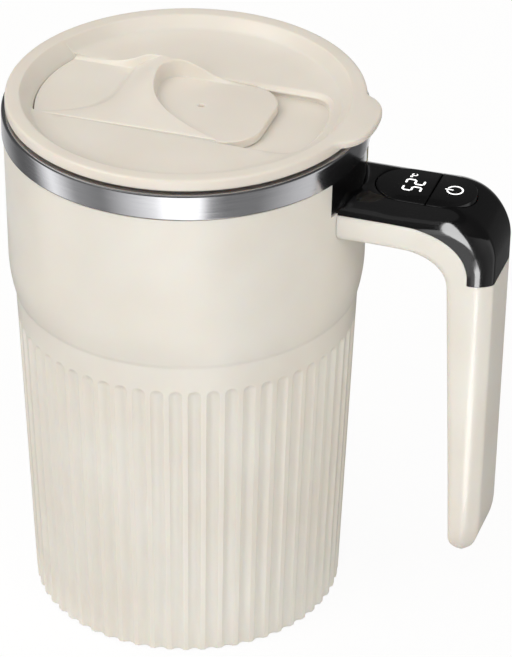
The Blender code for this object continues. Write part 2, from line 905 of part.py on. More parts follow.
def make_motor(steel, plastic, bronze, ceramic, copper):
    front_z = motor_top_z - motor_wall
    can_profile = [(motor_inner_radius, motor_z), (motor_radius, motor_z), (motor_radius, motor_top_z),
                   (bush_hole_radius, motor_top_z), (bush_hole_radius, front_z),
                   (motor_inner_radius, front_z)]
    can = turned("motor_can", can_profile, disc_sides, steel)
    for place in motor_screw_places:
        cut(can, rod("hole", screw_radius + seat_gap, front_z - cut_overrun, motor_top_z + cut_overrun,
                     screw_sides, centre=place))

    cap_radius = flat_radius(motor_inner_radius, disc_sides) - seat_gap
    cap_top = motor_z + motor_cap_thickness
    bore = shaft_radius + shaft_gap
    cap = turned("motor_end_cap", [(0, motor_z), (cap_radius, motor_z), (cap_radius, cap_top),
                                   (bore, cap_top), (bore, motor_z + motor_cap_thickness / 2),
                                   (0, motor_z + motor_cap_thickness / 2)], disc_sides, plastic)
    for side in (-1, 1):
        y = side * motor_terminal_spread
        tag = block("tag", (-motor_terminal / 2, y - motor_terminal_thickness / 2, motor_z - motor_terminal),
                    (motor_terminal / 2, y + motor_terminal_thickness / 2, motor_z + motor_cap_thickness / 3))
        join(cap, tag)

    bush_z = motor_top_z - motor_wall - seat_gap
    turned("motor_bush", tube_profile(bore, bush_radius, bush_z, bush_z + bush_height), boss_sides, bronze)

    magnet_outer = flat_radius(motor_inner_radius, disc_sides) - seat_gap
    magnet_z = cap_top + seat_gap
    for number, middle in enumerate((math.pi / 2, -math.pi / 2), 1):
        magnet = arc_block(bmesh.new(), magnet_outer - field_magnet_thickness, magnet_outer, magnet_z,
                           magnet_z + field_magnet_height, middle - field_magnet_span / 2,
                           middle + field_magnet_span / 2, 6)
        new_piece("motor_magnet_" + str(number), magnet, ceramic)

    armature_z = magnet_z + (field_magnet_height - armature_height) / 2
    commutator_z = armature_z - commutator_height
    turned("motor_armature", [(bore, commutator_z), (commutator_radius, commutator_z),
                              (commutator_radius, armature_z), (armature_radius, armature_z),
                              (armature_radius, armature_z + armature_height),
                              (bore, armature_z + armature_height)], disc_sides, copper)
    rod("motor_shaft", shaft_radius, motor_z + motor_cap_thickness / 2 + seat_gap, shaft_top_z, boss_sides, steel)


hub_roof = hub_height / 5
shaft_top_z = hub_top_z - hub_roof - seat_gap


def make_drive_hub(plastic, magnet_look):
    bore = shaft_radius + shaft_gap
    hub = turned("drive_hub", [(0, hub_top_z - hub_roof), (bore, hub_top_z - hub_roof), (bore, hub_z),
                               (hub_radius, hub_z), (hub_radius, hub_top_z), (0, hub_top_z)],
                 disc_sides, plastic)
    for number, place in enumerate(ring_places(magnet_circle, 2), 1):
        pocket = rod("pocket", drive_magnet_radius + seat_gap, hub_top_z - drive_magnet_height - seat_gap,
                     hub_top_z + cut_overrun, boss_sides, centre=place)
        cut(hub, pocket)
        rod("drive_magnet_" + str(number), drive_magnet_radius, hub_top_z - drive_magnet_height, hub_top_z,
            boss_sides, magnet_look, centre=place)
    return hub


def make_stirrer(plastic, magnet_look):
    pin_foot = cup_floor_top_z + seat_gap
    cap_z = pin_foot + pin_flange_height + stirrer_lift
    cap_top = cap_z + stirrer_cap_thickness
    disc_z = cap_top + seat_gap
    disc_top = disc_z + stirrer_disc
    hub_top = disc_z + stirrer_hub_height
    bore = pin_radius + stirrer_bore_gap
    bore_top = hub_top - stirrer_roof
    stirrer = turned("stirrer", [(0, bore_top), (bore, bore_top), (bore, disc_z), (stirrer_radius, disc_z),
                                 (stirrer_radius, disc_top), (stirrer_hub_radius, disc_top),
                                 (stirrer_hub_radius, hub_top), (0, hub_top)], disc_sides, plastic)
    inner = (pin_radius + stirrer_bore_gap + stirrer_hub_radius) / 2
    vane_low = disc_z + stirrer_disc / 2
    for index in range(vane_count):
        vane = block("vane", (inner, -vane_thickness / 2, vane_low),
                     (vane_reach, vane_thickness / 2, disc_top + vane_height))
        vane.data.transform(Matrix.Rotation(2 * math.pi * (index + 0.5) / vane_count, 4, "Z"))
        join(stirrer, vane)
    for number, place in enumerate(ring_places(magnet_circle, 2), 1):
        pocket_top = disc_z + stirrer_magnet_height + seat_gap
        cut(stirrer, rod("pocket", stirrer_magnet_radius + seat_gap, disc_z - cut_overrun, pocket_top,
                         boss_sides, centre=place))
        rod("stirrer_magnet_" + str(number), stirrer_magnet_radius, disc_z, disc_z + stirrer_magnet_height,
            boss_sides, magnet_look, centre=place)
    turned("stirrer_cap", tube_profile(pin_flange_radius + stirrer_bore_gap, stirrer_radius, cap_z, cap_top),
           disc_sides, plastic)
    return stirrer


def make_sensor(look):
    top = cup_floor_z - seat_gap
    return block("temperature_sensor", (sensor_distance - sensor_length / 2, -sensor_width / 2, top - sensor_height),
                 (sensor_distance + sensor_length / 2, sensor_width / 2, top), look, edge=sensor_height / 5)


# Lid

seal_z = lid_skirt_z + seal_rise
seal_outer = cup_outer_radius(seal_z) - cup_steel - seal_stretch


def make_lid_body(look):
    rim_in = lid_flange_radius - lid_rim_width
    groove = lid_plug_radius - seal_depth
    skirt_in = lid_plug_radius - lid_skirt_wall
    step = lid_flange_radius - lid_step_width
    profile = [
        (0, lid_under_z), (skirt_in, lid_under_z), (skirt_in, lid_skirt_z),
        (lid_plug_radius - lid_edge, lid_skirt_z),
        (lid_plug_radius, lid_skirt_z + lid_edge), (lid_plug_radius, seal_z - seat_gap),
        (groove, seal_z - seat_gap), (groove, seal_z + seal_height + seat_gap),
        (lid_plug_radius, seal_z + seal_height + seat_gap), (lid_plug_radius, lid_floor_rest_z),
        (step, lid_floor_rest_z), (step, lid_flange_z), (lid_flange_radius - lid_edge, lid_flange_z),
        (lid_flange_radius, lid_flange_z + lid_edge), (lid_flange_radius, lid_top_z - lid_edge),
        (lid_flange_radius - lid_edge, lid_top_z), (rim_in + lid_edge, lid_top_z),
        (rim_in, lid_top_z - lid_edge / 2), (basin_radius + lid_basin_round, basin_z + lid_basin_round),
        (basin_radius - lid_basin_round, basin_z), (0, basin_z),
    ]
    lid = turned("lid_body", profile, round_sides, look)

    def tab_outline(half_width, reach):
        # From the middle of the flat ring out to the tip, the same on both sides.
        root_x = math.sqrt(lid_flange_radius ** 2 - half_width ** 2)
        side = [(root_x + (reach - root_x) * out_share, half_width * wide_share)
                for out_share, wide_share in tab_outline_shares]
        root_angle = math.atan2(side[0][1], side[0][0])
        root = arc_points((0.0, 0.0), lid_flange_radius - lid_rim_width / 2, root_angle, -root_angle, 5)
        return root + [(x, -y) for x, y in side] + [(x, y) for x, y in side[-2::-1]]

    join(lid, prism("tab", tab_outline(tab_half_width, tab_reach), lid_top_z - tab_thickness, lid_top_z))
    step_reach = (lid_flange_radius + tab_reach) / 2
    join(lid, prism("step", tab_outline(tab_step_half_width, step_reach), lid_top_z - tab_step_thickness,
                    lid_top_z - tab_thickness / 2))

    cut(lid, prism("rails", channel_outline(channel_half_width + rail_depth), channel_z,
                   channel_z + rail_height))
    cut(lid, prism("channel", channel_outline(channel_half_width), channel_z + rail_height / 2,
                   basin_z + cut_overrun))
    hole = block("hole", (-drink_hole_distance - drink_hole_length / 2, -drink_hole_half_width,
                          lid_under_z - cut_overrun),
                 (-drink_hole_distance + drink_hole_length / 2, drink_hole_half_width, basin_z))
    cut(lid, hole)
    cut(lid, rod("vent", vent_radius, lid_under_z - cut_overrun, basin_z, screw_sides,
                 centre=(-vent_distance, 0.0)))
    return lid


def channel_outline(half_width):
    # Arc against the rim on the left, straight sides, rounded end on the right.
    left_angle = math.asin(half_width / channel_wall_radius)
    left = arc_points((0.0, 0.0), channel_wall_radius, math.pi - left_angle, math.pi + left_angle, 10)
    corner_y = half_width - channel_end_corner
    corner_x = math.sqrt((channel_end_radius - channel_end_corner) ** 2 - corner_y ** 2)
    corner_angle = math.atan2(corner_y, corner_x)
    lower = arc_points((corner_x, -corner_y), channel_end_corner, -math.pi / 2, -corner_angle, 5)
    end = arc_points((0.0, 0.0), channel_end_radius, -corner_angle, corner_angle, 5)
    upper = arc_points((corner_x, corner_y), channel_end_corner, corner_angle, math.pi / 2, 5)
    return left + lower + end[1:-1] + upper


def make_lid_seal(look):
    inner = lid_plug_radius - seal_depth + seat_gap
    profile = [(inner, seal_z), (seal_outer - seal_stretch, seal_z), (seal_outer, seal_z + seal_height / 3),
               (seal_outer, seal_z + seal_height * 2 / 3), (seal_outer - seal_stretch, seal_z + seal_height),
               (inner, seal_z + seal_height)]
    return turned("lid_seal", profile, ring_sides, look)


def slider_left_x(y):
    return -math.sqrt(slider_left_radius ** 2 - y ** 2)


def slider_right_x(y):
    beyond = abs(y) - (slider_half_width - slider_corner)
    if beyond <= 0:
        return slider_right_end
    return slider_right_end - slider_corner + math.sqrt(max(slider_corner ** 2 - beyond ** 2, 0.0))


def rear_wall_height(x):
    # Top edge of the slider's rear side: up to the peak, then down along the oval scoop.
    if x < rear_wall_peak:
        return ridge_rear_height * math.exp((x - rear_wall_peak) / rear_wall_left_fade)
    share = min((x - rear_wall_peak) / (rear_wall_right - rear_wall_peak), 1.0)
    return ridge_rear_height * 0.5 * (1 + math.cos(math.pi * share))


def slider_row(share, wall_share):
    # Points across one row of the slider's top, from its left end to its right end.
    y = slider_half_width * (2 * share - 1)
    left = slider_left_x(y)
    right = slider_right_x(y)
    ridge_from = max(-ridge_left - ridge_left_flare * (1 - share) ** ridge_left_power_share,
                     left + slider_side_gap)
    ridge_to = min(-ridge_right + ridge_right_flare * (1 - share) ** ridge_right_power_share,
                   right - slider_side_gap)
    crest = ridge_front_height + (ridge_rear_height - ridge_front_height) * share ** ridge_height_power_share
    points = []
    for step in range(3):
        points.append((left + (ridge_from - left) * step / 3, 0.0))
    for across_share, rise_share in ridge_crest_shares:
        points.append((ridge_from + (ridge_to - ridge_from) * across_share, crest * rise_share))
    for step in range(1, 6):
        points.append((ridge_to + (right - ridge_to) * step / 5, 0.0))
    row = []
    for x, rise in points:
        rise = max(rise, rear_wall_height(x) * wall_share)
        row.append((x, y, scoop_z + rise))
    return row


def make_lid_slider(look):
    form = bmesh.new()
    rows = [slider_row(share, wall) for share, wall in zip(row_shares, rear_wall_shares)]
    grid = [[form.verts.new(point) for point in row] for row in rows]
    for low, high in zip(grid, grid[1:]):
        for index in range(len(low) - 1):
            form.faces.new((low[index], low[index + 1], high[index + 1], high[index]))
    edge = grid[0] + [row[-1] for row in grid[1:]] + grid[-1][-2::-1] + [row[0] for row in grid[-2:0:-1]]
    foot = [form.verts.new((vert.co.x, vert.co.y, slider_z)) for vert in edge]
    for index in range(len(edge)):
        after = (index + 1) % len(edge)
        form.faces.new((foot[index], foot[after], edge[after], edge[index]))
    form.faces.new(foot)
    slider = new_piece("lid_slider", form, look)
    tongue_reach = channel_half_width + rail_depth - slider_side_gap
    tongue_from = slider_left_x(slider_half_width) + tongue_back_inset
    tongue_to = slider_right_end - slider_corner - tongue_front_inset
    tongues = block("tongues", (tongue_from, -tongue_reach, slider_z),
                    (tongue_to, tongue_reach, slider_z + tongue_height))
    join(slider, tongues)
    recess = block("recess", (-pad_right_x - slider_side_gap, -pad_half_width - slider_side_gap,
                              slider_z - cut_overrun),
                   (-pad_left_x + slider_side_gap, pad_half_width + slider_side_gap, slider_z + pad_recess))
    cut(slider, recess)
    return slider


pad_right_x = drink_hole_distance + drink_hole_length / 2 + slider_pad_margin
pad_left_x = vent_distance - vent_radius - slider_pad_margin
pad_half_width = drink_hole_half_width + slider_pad_margin


def make_slider_seal(look):
    return block("slider_seal", (-pad_right_x, -pad_half_width, slider_z),
                 (-pad_left_x, pad_half_width, slider_z + slider_pad_thickness), look)


# Handle

def handle_stations(wall=0.0):
    # Places along the handle: outer and inner point with their normals, and a share from arm to grip.
    stations = []

    def add(outer, outer_normal, inner, inner_normal, morph, close=1.0):
        stations.append((Vector(outer), Vector(outer_normal), Vector(inner), Vector(inner_normal),
                         morph, close))

    start = body_side_radius - root_plate_thickness * 4 if not wall else root_inside_x
    for x in (start, (start + corner_inner_x) / 2):
        add((x, arm_top_z), (0, 1), (x, arm_foot_z), (0, 1), 0.0)
    for step in range(corner_steps + 1):
        share = step / corner_steps
        angle = math.pi / 2 * (1 - share)
        normal = (math.cos(angle), math.sin(angle))
        outer = (corner_outer_x + corner_outer_radius * normal[0],
                 corner_outer_z + corner_outer_radius * normal[1])
        inner = (corner_inner_x + corner_inner_radius * normal[0],
                 corner_inner_z + corner_inner_radius * normal[1])
        add(outer, normal, inner, normal, share * share * (3 - 2 * share))
    add((tip_outer_x, tip_z), (1, 0), (tip_inner_x, tip_z), (1, 0), 1.0)
    if not wall:
        for step in range(1, tip_steps + 1):
            angle = tip_angle * step / tip_steps
            outer = (tip_x + tip_radius * math.cos(angle), tip_z - tip_radius * math.sin(angle))
            inner = (tip_x - tip_radius * math.cos(angle), outer[1])
            add(outer, (1, 0), inner, (1, 0), 1.0, math.cos(angle))
    return stations


root_inside_x = body_side_radius + root_wall


def handle_section(station, wall):
    # Closed section with a flat outer face, a sloped face on each side and a rounded inner side.
    outer, outer_normal, inner, inner_normal, morph, close = station
    half = arm_half_width + (grip_half_width - arm_half_width) * morph
    flat = arm_flat_half + (grip_flat_half - arm_flat_half) * morph
    slope = (arm_chamfer + (grip_chamfer - arm_chamfer) * morph) * close
    half -= tip_side_round * (1 - close)
    flat -= tip_side_round * (1 - close) * flat / half
    tilt = math.atan2(slope, half - flat)
    if wall:
        flat_in = flat - wall * math.tan(tilt / 2)
        slope_in = slope + wall * math.tan((math.pi / 2 - tilt) / 2) - wall
        outer = outer - outer_normal * wall
        inner = inner + inner_normal * wall
        half, flat, slope = half - wall, flat_in, slope_in
    depth = (outer - inner).length
    edge = handle_edge * close
    ridge = min(handle_ridge * close, (depth - slope) / 3)
    foot = min(handle_inner_round * close, (depth - slope) / 3)
    run = math.hypot(half - flat, slope)
    along = ((half - flat) / run, slope / run)
    side = [
        (flat - edge, 0.0, True),
        (flat + along[0] * edge, along[1] * edge, True),
        (half - along[0] * ridge, slope - along[1] * ridge, True),
        (half - along[0] * ridge / 4, slope + (ridge - along[1] * ridge) / 4, True),
        (half, slope + ridge, True),
        (half, foot, False),
        (half - foot / 4, foot / 4, False),
        (half - foot, 0.0, False),
    ]
    points = []
    for y, depth_in, from_outer in side:
        spot = outer - outer_normal * depth_in if from_outer else inner + inner_normal * depth_in
        points.append((spot[0], y, spot[1]))
    return points + [(x, -y, z) for x, y, z in points[::-1]]


def handle_loft(name, wall=0.0, look=None):
    form = bmesh.new()
    rings = []
    for station in handle_stations(wall):
        rings.append([form.verts.new(point) for point in handle_section(station, wall)])
    skin_rings(form, rings)
    return new_piece(name, form, look)


def split_outline(shift):
    # Everything above and outside the line where black meets cream, moved out by shift.
    far_x = handle_reach + cut_overrun * 5
    high = arm_top_z + cut_overrun * 5
    radius = split_radius + shift
    curve = arc_points((split_x, split_end_z), radius, math.pi / 2, math.asin(shift / radius), 8)
    return [(0.0, curve[0][1])] + curve + [(far_x, split_end_z + shift), (far_x, high), (0.0, high)]


def stadium(left, right, half_width, inset, steps=6):
    radius = half_width - inset
    first = left + half_width
    last = right - half_width
    return (arc_points((first, 0.0), radius, math.pi / 2, math.pi * 3 / 2, steps)
            + arc_points((last, 0.0), radius, -math.pi / 2, math.pi / 2, steps))


def window_outline(inset):
    # Left part of the stadium, up to the line between window and button.
    end = panel_split - panel_split_gap / 2 - (inset - panel_gap)
    radius = panel_half_width - inset
    arc = arc_points((panel_left + panel_half_width, 0.0), radius, math.pi / 2, math.pi * 3 / 2, 6)
    return arc + [(end, -radius), (end, radius)]


def button_outline(inset):
    start = panel_split + panel_split_gap / 2 + (inset - panel_gap)
    radius = panel_half_width - inset
    arc = arc_points((panel_right - panel_half_width, 0.0), radius, -math.pi / 2, math.pi / 2, 6)
    return [(start, radius), (start, -radius)] + arc


def make_handle(cream, black, window_look, button_look):
    solid = handle_loft("handle_solid")
    body = rod("body", body_side_radius, 0.0, lid_top_z, round_sides)
    cut(solid, body)
    cut(solid, handle_loft("cavity", handle_wall))

    cover = copy_piece(solid, "handle_cover")
    shell = copy_piece(solid, "handle_shell")
    window = copy_piece(solid, "display_window")
    button = copy_piece(solid, "power_button")
    bpy.data.objects.remove(solid)
    for piece, look in ((cover, black), (shell, cream), (window, window_look), (button, button_look)):
        piece.data.materials.clear()
        piece.data.materials.append(look)

    panel_low = arm_top_z - panel_depth
    panel_high = arm_top_z + cut_overrun
    keep(window, prism("outline", window_outline(panel_gap), panel_low, panel_high))
    keep(button, prism("outline", button_outline(panel_gap), panel_low, panel_high))
    flange_top = cavity_top_z - flange_drop
    flange_half = panel_half_width + flange_overlap - panel_gap
    for piece, left, right in (
            (window, panel_left + panel_stem_inset, panel_split - panel_split_gap),
            (button, panel_split + panel_split_gap, panel_right - button_flange_end)):
        join(piece, block("stem", (left, -panel_stem_half_width, flange_top - flange_thickness / 2),
                          (right, panel_stem_half_width, cavity_top_z + handle_wall / 2)))
        join(piece, block("flange", (left, -flange_half, flange_z), (right, flange_half, flange_top)))
    join(button, rod("nub", button_nub_radius, button_pad_top_z + button_travel + seat_gap,
                     flange_z + flange_thickness / 2, boss_sides, centre=(button_centre, 0.0)))

    keep(cover, side_prism("above", split_outline(seat_gap / 2), arm_half_width * 2))
    cut(cover, prism("opening", stadium(panel_left, panel_right, panel_half_width, 0.0), panel_low, panel_high))
    finish_cover(cover)
    cut(shell, side_prism("above", split_outline(-seat_gap / 2), arm_half_width * 2))
    finish_shell(shell)
    return cover, shell, window, button


def finish_cover(cover):
    # Root plate in the shell's notch, neck, lead holes, and two bosses for the joining screws.
    plate_outer = flat_radius(shell_outer_radius(split_z)) - root_plate_recess
    plate_inner = plate_outer - root_plate_thickness
    half_angle = math.asin((notch_half_width - seat_gap) / plate_outer)
    plate = bmesh.new()
    arc_block(plate, plate_inner, plate_outer, split_z + seat_gap, band_z - seat_gap, -half_angle,
              half_angle, 8)
    plate = new_piece("plate", plate)
    neck = block("neck", (plate_inner + root_plate_thickness / 2, -neck_half_width, neck_z),
                 (body_side_radius + root_wall / 2, neck_half_width, neck_top_z))
    join(plate, neck)
    join(cover, plate)
    for side in (-1, 1):
        hole = rod_along_x("hole", lead_hole_radius, plate_inner - cut_overrun,
                           root_inside_x - plate_inner + cut_overrun * 2, side * lead_spread,
                           lead_hole_z, screw_sides)
        cut(cover, hole)
        place = (handle_screw_distance, side * handle_screw_spread)
        join(cover, rod("boss", handle_boss_radius, handle_boss_z, flange_z - seat_gap, boss_sides,
                        centre=place))
        near = panel_half_width + flange_overlap
        far = handle_screw_spread + handle_boss_radius * 0.9
        join(cover, block("web", (handle_screw_distance - handle_boss_radius * 0.9, min(side * near, side * far),
                                  flange_z - flange_thickness),
                          (handle_screw_distance + handle_boss_radius * 0.9, max(side * near, side * far),
                           cavity_top_z - flange_drop)))
        cut(cover, rod("bore", screw_radius + seat_gap, handle_boss_z - cut_overrun,
                       handle_screw_top_z + seat_gap, screw_sides, centre=place))


pillar_top_z = cavity_floor_z + handle_pillar_height
handle_boss_z = pillar_top_z + seat_gap
handle_screw_z = arm_foot_z + handle_screw_sink - screw_head_height
handle_screw_top_z = handle_screw_z + screw_head_height + handle_screw_length
board_post_places = [(board_post_distance, side * board_post_spread) for side in (-1, 1)]
board_rest_place = (board_left + board_rest_inset, 0.0)


def arm_wall_z(x):
    # Height in the middle of the arm's lower wall, which curves down into the grip.
    middle = corner_inner_radius + handle_wall / 2
    beyond = max(x - corner_inner_x, 0.0)
    return corner_inner_z + math.sqrt(middle ** 2 - beyond ** 2)


def finish_shell(shell):
    # Bosses for bracket screws, sinks for joining screws, board posts and the charge port.
    for side in (-1, 1):
        y = side * bracket_screw_spread
        boss = rod_along_x("boss", bracket_boss_radius, body_side_radius + root_wall / 2,
                           bracket_boss_length, y, bracket_screw_z)
        join(shell, boss)
        bore = rod_along_x("bore", screw_radius + seat_gap, body_side_radius - cut_overrun,
                           bracket_screw_end_x + seat_gap - body_side_radius + cut_overrun, y,
                           bracket_screw_z, screw_sides)
        cut(shell, bore)
        place = (handle_screw_distance, side * handle_screw_spread)
        join(shell, rod("pillar", handle_pillar_radius, arm_wall_z(handle_screw_distance), pillar_top_z,
                        boss_sides, centre=place))
        cut(shell, rod("bore", screw_radius + seat_gap, arm_foot_z - cut_overrun,
                       pillar_top_z + cut_overrun, screw_sides, centre=place))
        cut(shell, rod("sink", screw_head_radius + seat_gap, arm_foot_z - cut_overrun,
                       arm_foot_z + handle_screw_sink + seat_gap, screw_sides, centre=place))
    for place in board_post_places + [board_rest_place]:
        join(shell, rod("post", board_post_radius, arm_wall_z(place[0] + board_post_radius),
                        board_z - seat_gap, screw_sides, centre=place))
    for place in board_post_places:
        cut(shell, rod("bore", screw_radius + seat_gap, board_top_z - board_screw_length, board_z,
                       screw_sides, centre=place))
    half_width = plug_flange_width / 2 + seat_gap
    half_depth = plug_flange_depth / 2 + seat_gap
    recess_top = grip_foot + plug_flange_thickness + seat_gap
    cut(shell, block("recess", (port_x - half_depth, -half_width, grip_foot - cut_overrun),
                     (port_x + half_depth, half_width, recess_top)))
    port_half_width = socket_width / 2 + seat_gap
    port_half_depth = socket_depth / 2 + seat_gap
    cut(shell, block("port", (port_x - port_half_depth, -port_half_width, grip_foot - cut_overrun),
                     (port_x + port_half_depth, port_half_width, tip_z + cut_overrun)))


bracket_top_z = split_z - bracket_drop
bracket_z = bracket_top_z - bracket_height
bracket_outer_radius = flat_radius(shell_inner_radius(bracket_z)) - seat_gap
bracket_inner_radius = bracket_outer_radius - bracket_thickness
bracket_screw_reach = bracket_screw_spread + screw_head_radius
bracket_face_x = math.sqrt(bracket_inner_radius ** 2 - bracket_screw_reach ** 2)
bracket_screw_x = bracket_face_x - seat_gap - screw_head_height
bracket_screw_end_x = bracket_face_x - seat_gap + bracket_screw_length


def make_bracket(look, screw_look):
    form = arc_block(bmesh.new(), bracket_inner_radius, bracket_outer_radius, bracket_z, bracket_top_z,
                     -bracket_half_angle, bracket_half_angle, 8)
    bracket = new_piece("handle_bracket", form, look)
    for side in (-1, 1):
        cut(bracket, rod_along_x("hole", screw_radius + seat_gap, bracket_inner_radius - cut_overrun,
                                 bracket_thickness + cut_overrun * 2, side * bracket_screw_spread,
                                 bracket_screw_z, screw_sides))
    places = [(bracket_screw_x, side * bracket_screw_spread, bracket_screw_z) for side in (-1, 1)]
    place_screws("bracket_screw", places, screw_head_radius, screw_head_height, bracket_screw_length,
                 shank_out, screw_look)
    return bracket


def make_handle_electronics(board_look, part_look, soft_look, steel):
    board = block("control_board", (board_left, -board_half_width, board_z),
                  (board_right, board_half_width, board_top_z), board_look)
    for place in board_post_places:
        cut(board, rod("hole", screw_radius + seat_gap, board_z - cut_overrun, board_top_z + cut_overrun,
                       screw_sides, centre=place))
    block("display_module", (display_centre - display_length / 2, -display_half_width, display_z),
          (display_centre + display_length / 2, display_half_width, display_z + display_height), part_look)
    switch = block("button_switch", (button_centre - switch_size / 2, -switch_size / 2, display_z),
                   (button_centre + switch_size / 2, switch_size / 2, display_z + switch_height), steel)
    join(switch, rod("plunger", switch_plunger_radius, display_z + switch_height / 2, plunger_top_z,
                     screw_sides, centre=(button_centre, 0.0)))
    rod("button_pad", button_pad_radius, button_pad_z, button_pad_top_z, boss_sides, soft_look,
        centre=(button_centre, 0.0))


def make_grip_parts(cell_look, carrier_look, board_look, steel, soft_look):
    middle = tip_x + (battery_foot - tip_z) / (corner_outer_z - tip_z) * (
        (handle_reach + grip_inner_x) / 2 - tip_x)
    block("battery", (middle - battery_thickness / 2, -battery_half_width, battery_foot),
          (middle + battery_thickness / 2, battery_half_width, battery_top_z), cell_look,
          edge=battery_thickness / 5)
    wall = carrier_wall + seat_gap
    carrier = block("battery_carrier",
                    (middle - battery_thickness / 2 - wall, -battery_half_width - wall,
                     battery_foot - seat_gap - carrier_floor),
                    (middle + battery_thickness / 2 - seat_gap, battery_half_width + wall,
                     battery_top_z - battery_length / 5), carrier_look)
    pocket = block("pocket", (middle - battery_thickness / 2 - seat_gap, -battery_half_width - seat_gap,
                              battery_foot - seat_gap),
                   (middle + battery_thickness, battery_half_width + seat_gap, battery_top_z), None)
    cut(carrier, pocket)

    socket_top = socket_foot + socket_length
    inner_side = port_x - socket_depth / 2
    board_x = inner_side - seat_gap - charge_board_thickness
    block("charge_board", (board_x, -charge_board_half_width, charge_board_foot),
          (board_x + charge_board_thickness, charge_board_half_width, charge_board_foot + charge_board_length),
          board_look)
    socket = block("charge_socket", (inner_side, -socket_width / 2, socket_foot),
                   (inner_side + socket_depth, socket_width / 2, socket_top), steel)
    cut(socket, block("mouth", (inner_side + socket_wall, -socket_width / 2 + socket_wall,
                                socket_foot - cut_overrun),
                      (inner_side + socket_depth - socket_wall, socket_width / 2 - socket_wall,
                       socket_top - socket_wall)))

    flange_top = grip_foot + plug_flange_thickness
    plug = block("charge_plug", (port_x - plug_flange_depth / 2, -plug_flange_width / 2, grip_foot),
                 (port_x + plug_flange_depth / 2, plug_flange_width / 2, flange_top), soft_look,
                 edge=plug_flange_thickness / 4)
    join(plug, block("tongue", (port_x - plug_tongue_depth / 2, -plug_tongue_width / 2,
                                flange_top - plug_flange_thickness / 2),
                     (port_x + plug_tongue_depth / 2, plug_tongue_width / 2, grip_foot + plug_tongue_length)))
    return plug


# Leads

def gap_radius(z):
    # Middle of the gap between the steel cup and the shell.
    return (cup_outer_radius(max(z, cup_floor_z + cup_corner)) + shell_inner_radius(z)) / 2


def make_leads(look):
    down_x = cup_outer_radius(split_z) + seat_gap + lead_radius
    clear_z = bracket_z - lead_turn
    board_end_x = display_centre - display_length / 2 - seat_gap
    board_end_z = board_top_z + seat_gap + lead_radius
    low_z = cup_floor_z + cup_corner
    wrap_z = cup_floor_z - lead_turn

    def down_route(y):
        points = [(board_end_x, y, board_end_z), (board_left - lead_radius, y, board_end_z + lead_radius),
                  (board_left - lead_turn / 2, y, (board_end_z + lead_hole_z) / 2),
                  (root_inside_x + lead_radius, y, lead_hole_z),
                  (down_x + lead_turn / 2, y, lead_hole_z),
                  (down_x + lead_radius, y, lead_hole_z - lead_turn / 4),
                  (down_x, y, bracket_top_z), (down_x, y, clear_z)]
        for share in (0.25, 0.5, 0.75, 1.0):
            z = clear_z + (low_z - clear_z) * share
            points.append((gap_radius(z), y, z))
        return points

    sensor_end = sensor_distance + sensor_length / 2 + seat_gap
    sensor_mid = cup_floor_z - seat_gap - sensor_height / 2
    turn_x = gap_radius(low_z)
    lead("sensor_lead", down_route(lead_spread) + [
        (turn_x - lead_radius, lead_spread, cup_floor_z), (turn_x - lead_turn, lead_spread, sensor_mid - lead_radius),
        (sensor_end + lead_turn, lead_spread / 2, sensor_mid), (sensor_end, lead_spread / 2, sensor_mid)], look)
    terminal_z = motor_z - motor_terminal / 2
    lead("motor_lead", down_route(-lead_spread) + [
        (turn_x, -lead_spread, cup_floor_z), (turn_x - lead_turn / 2, -lead_spread, wrap_z),
        ((mount_radius + shell_inner_radius(mount_z)) / 2, -lead_spread, mount_z),
        (mount_radius, -lead_spread * 2, motor_z),
        (motor_radius + lead_turn, -motor_terminal_spread, terminal_z),
        (motor_terminal / 2 + seat_gap, -motor_terminal_spread, terminal_z)], look)

    top_z = board_z - seat_gap - lead_radius
    battery_x = handle_reach - grip_depth / 2
    lead("battery_lead", [
        (board_post_distance + lead_radius, 0.0, top_z),
        (board_post_distance + lead_turn / 2, 0.0, top_z - lead_radius),
        (battery_x - lead_turn / 2, 0.0, corner_inner_z + lead_turn),
        (battery_x, 0.0, battery_top_z + lead_turn),
        (battery_x, 0.0, battery_top_z + seat_gap)], look)


# Joint axes

def axis_empty(name, place, pieces):
    # An empty on a joint's axis carries the pieces that move with it.
    empty = bpy.data.objects.new(name, None)
    empty.location = place
    bpy.context.scene.collection.objects.link(empty)
    for piece_name in pieces:
        piece = bpy.data.objects[piece_name]
        piece.parent = empty
        piece.matrix_parent_inverse = Matrix.Translation(place).inverted()
    return empty


def clear_scene():
    for piece in list(bpy.data.objects):
        bpy.data.objects.remove(piece, do_unlink=True)


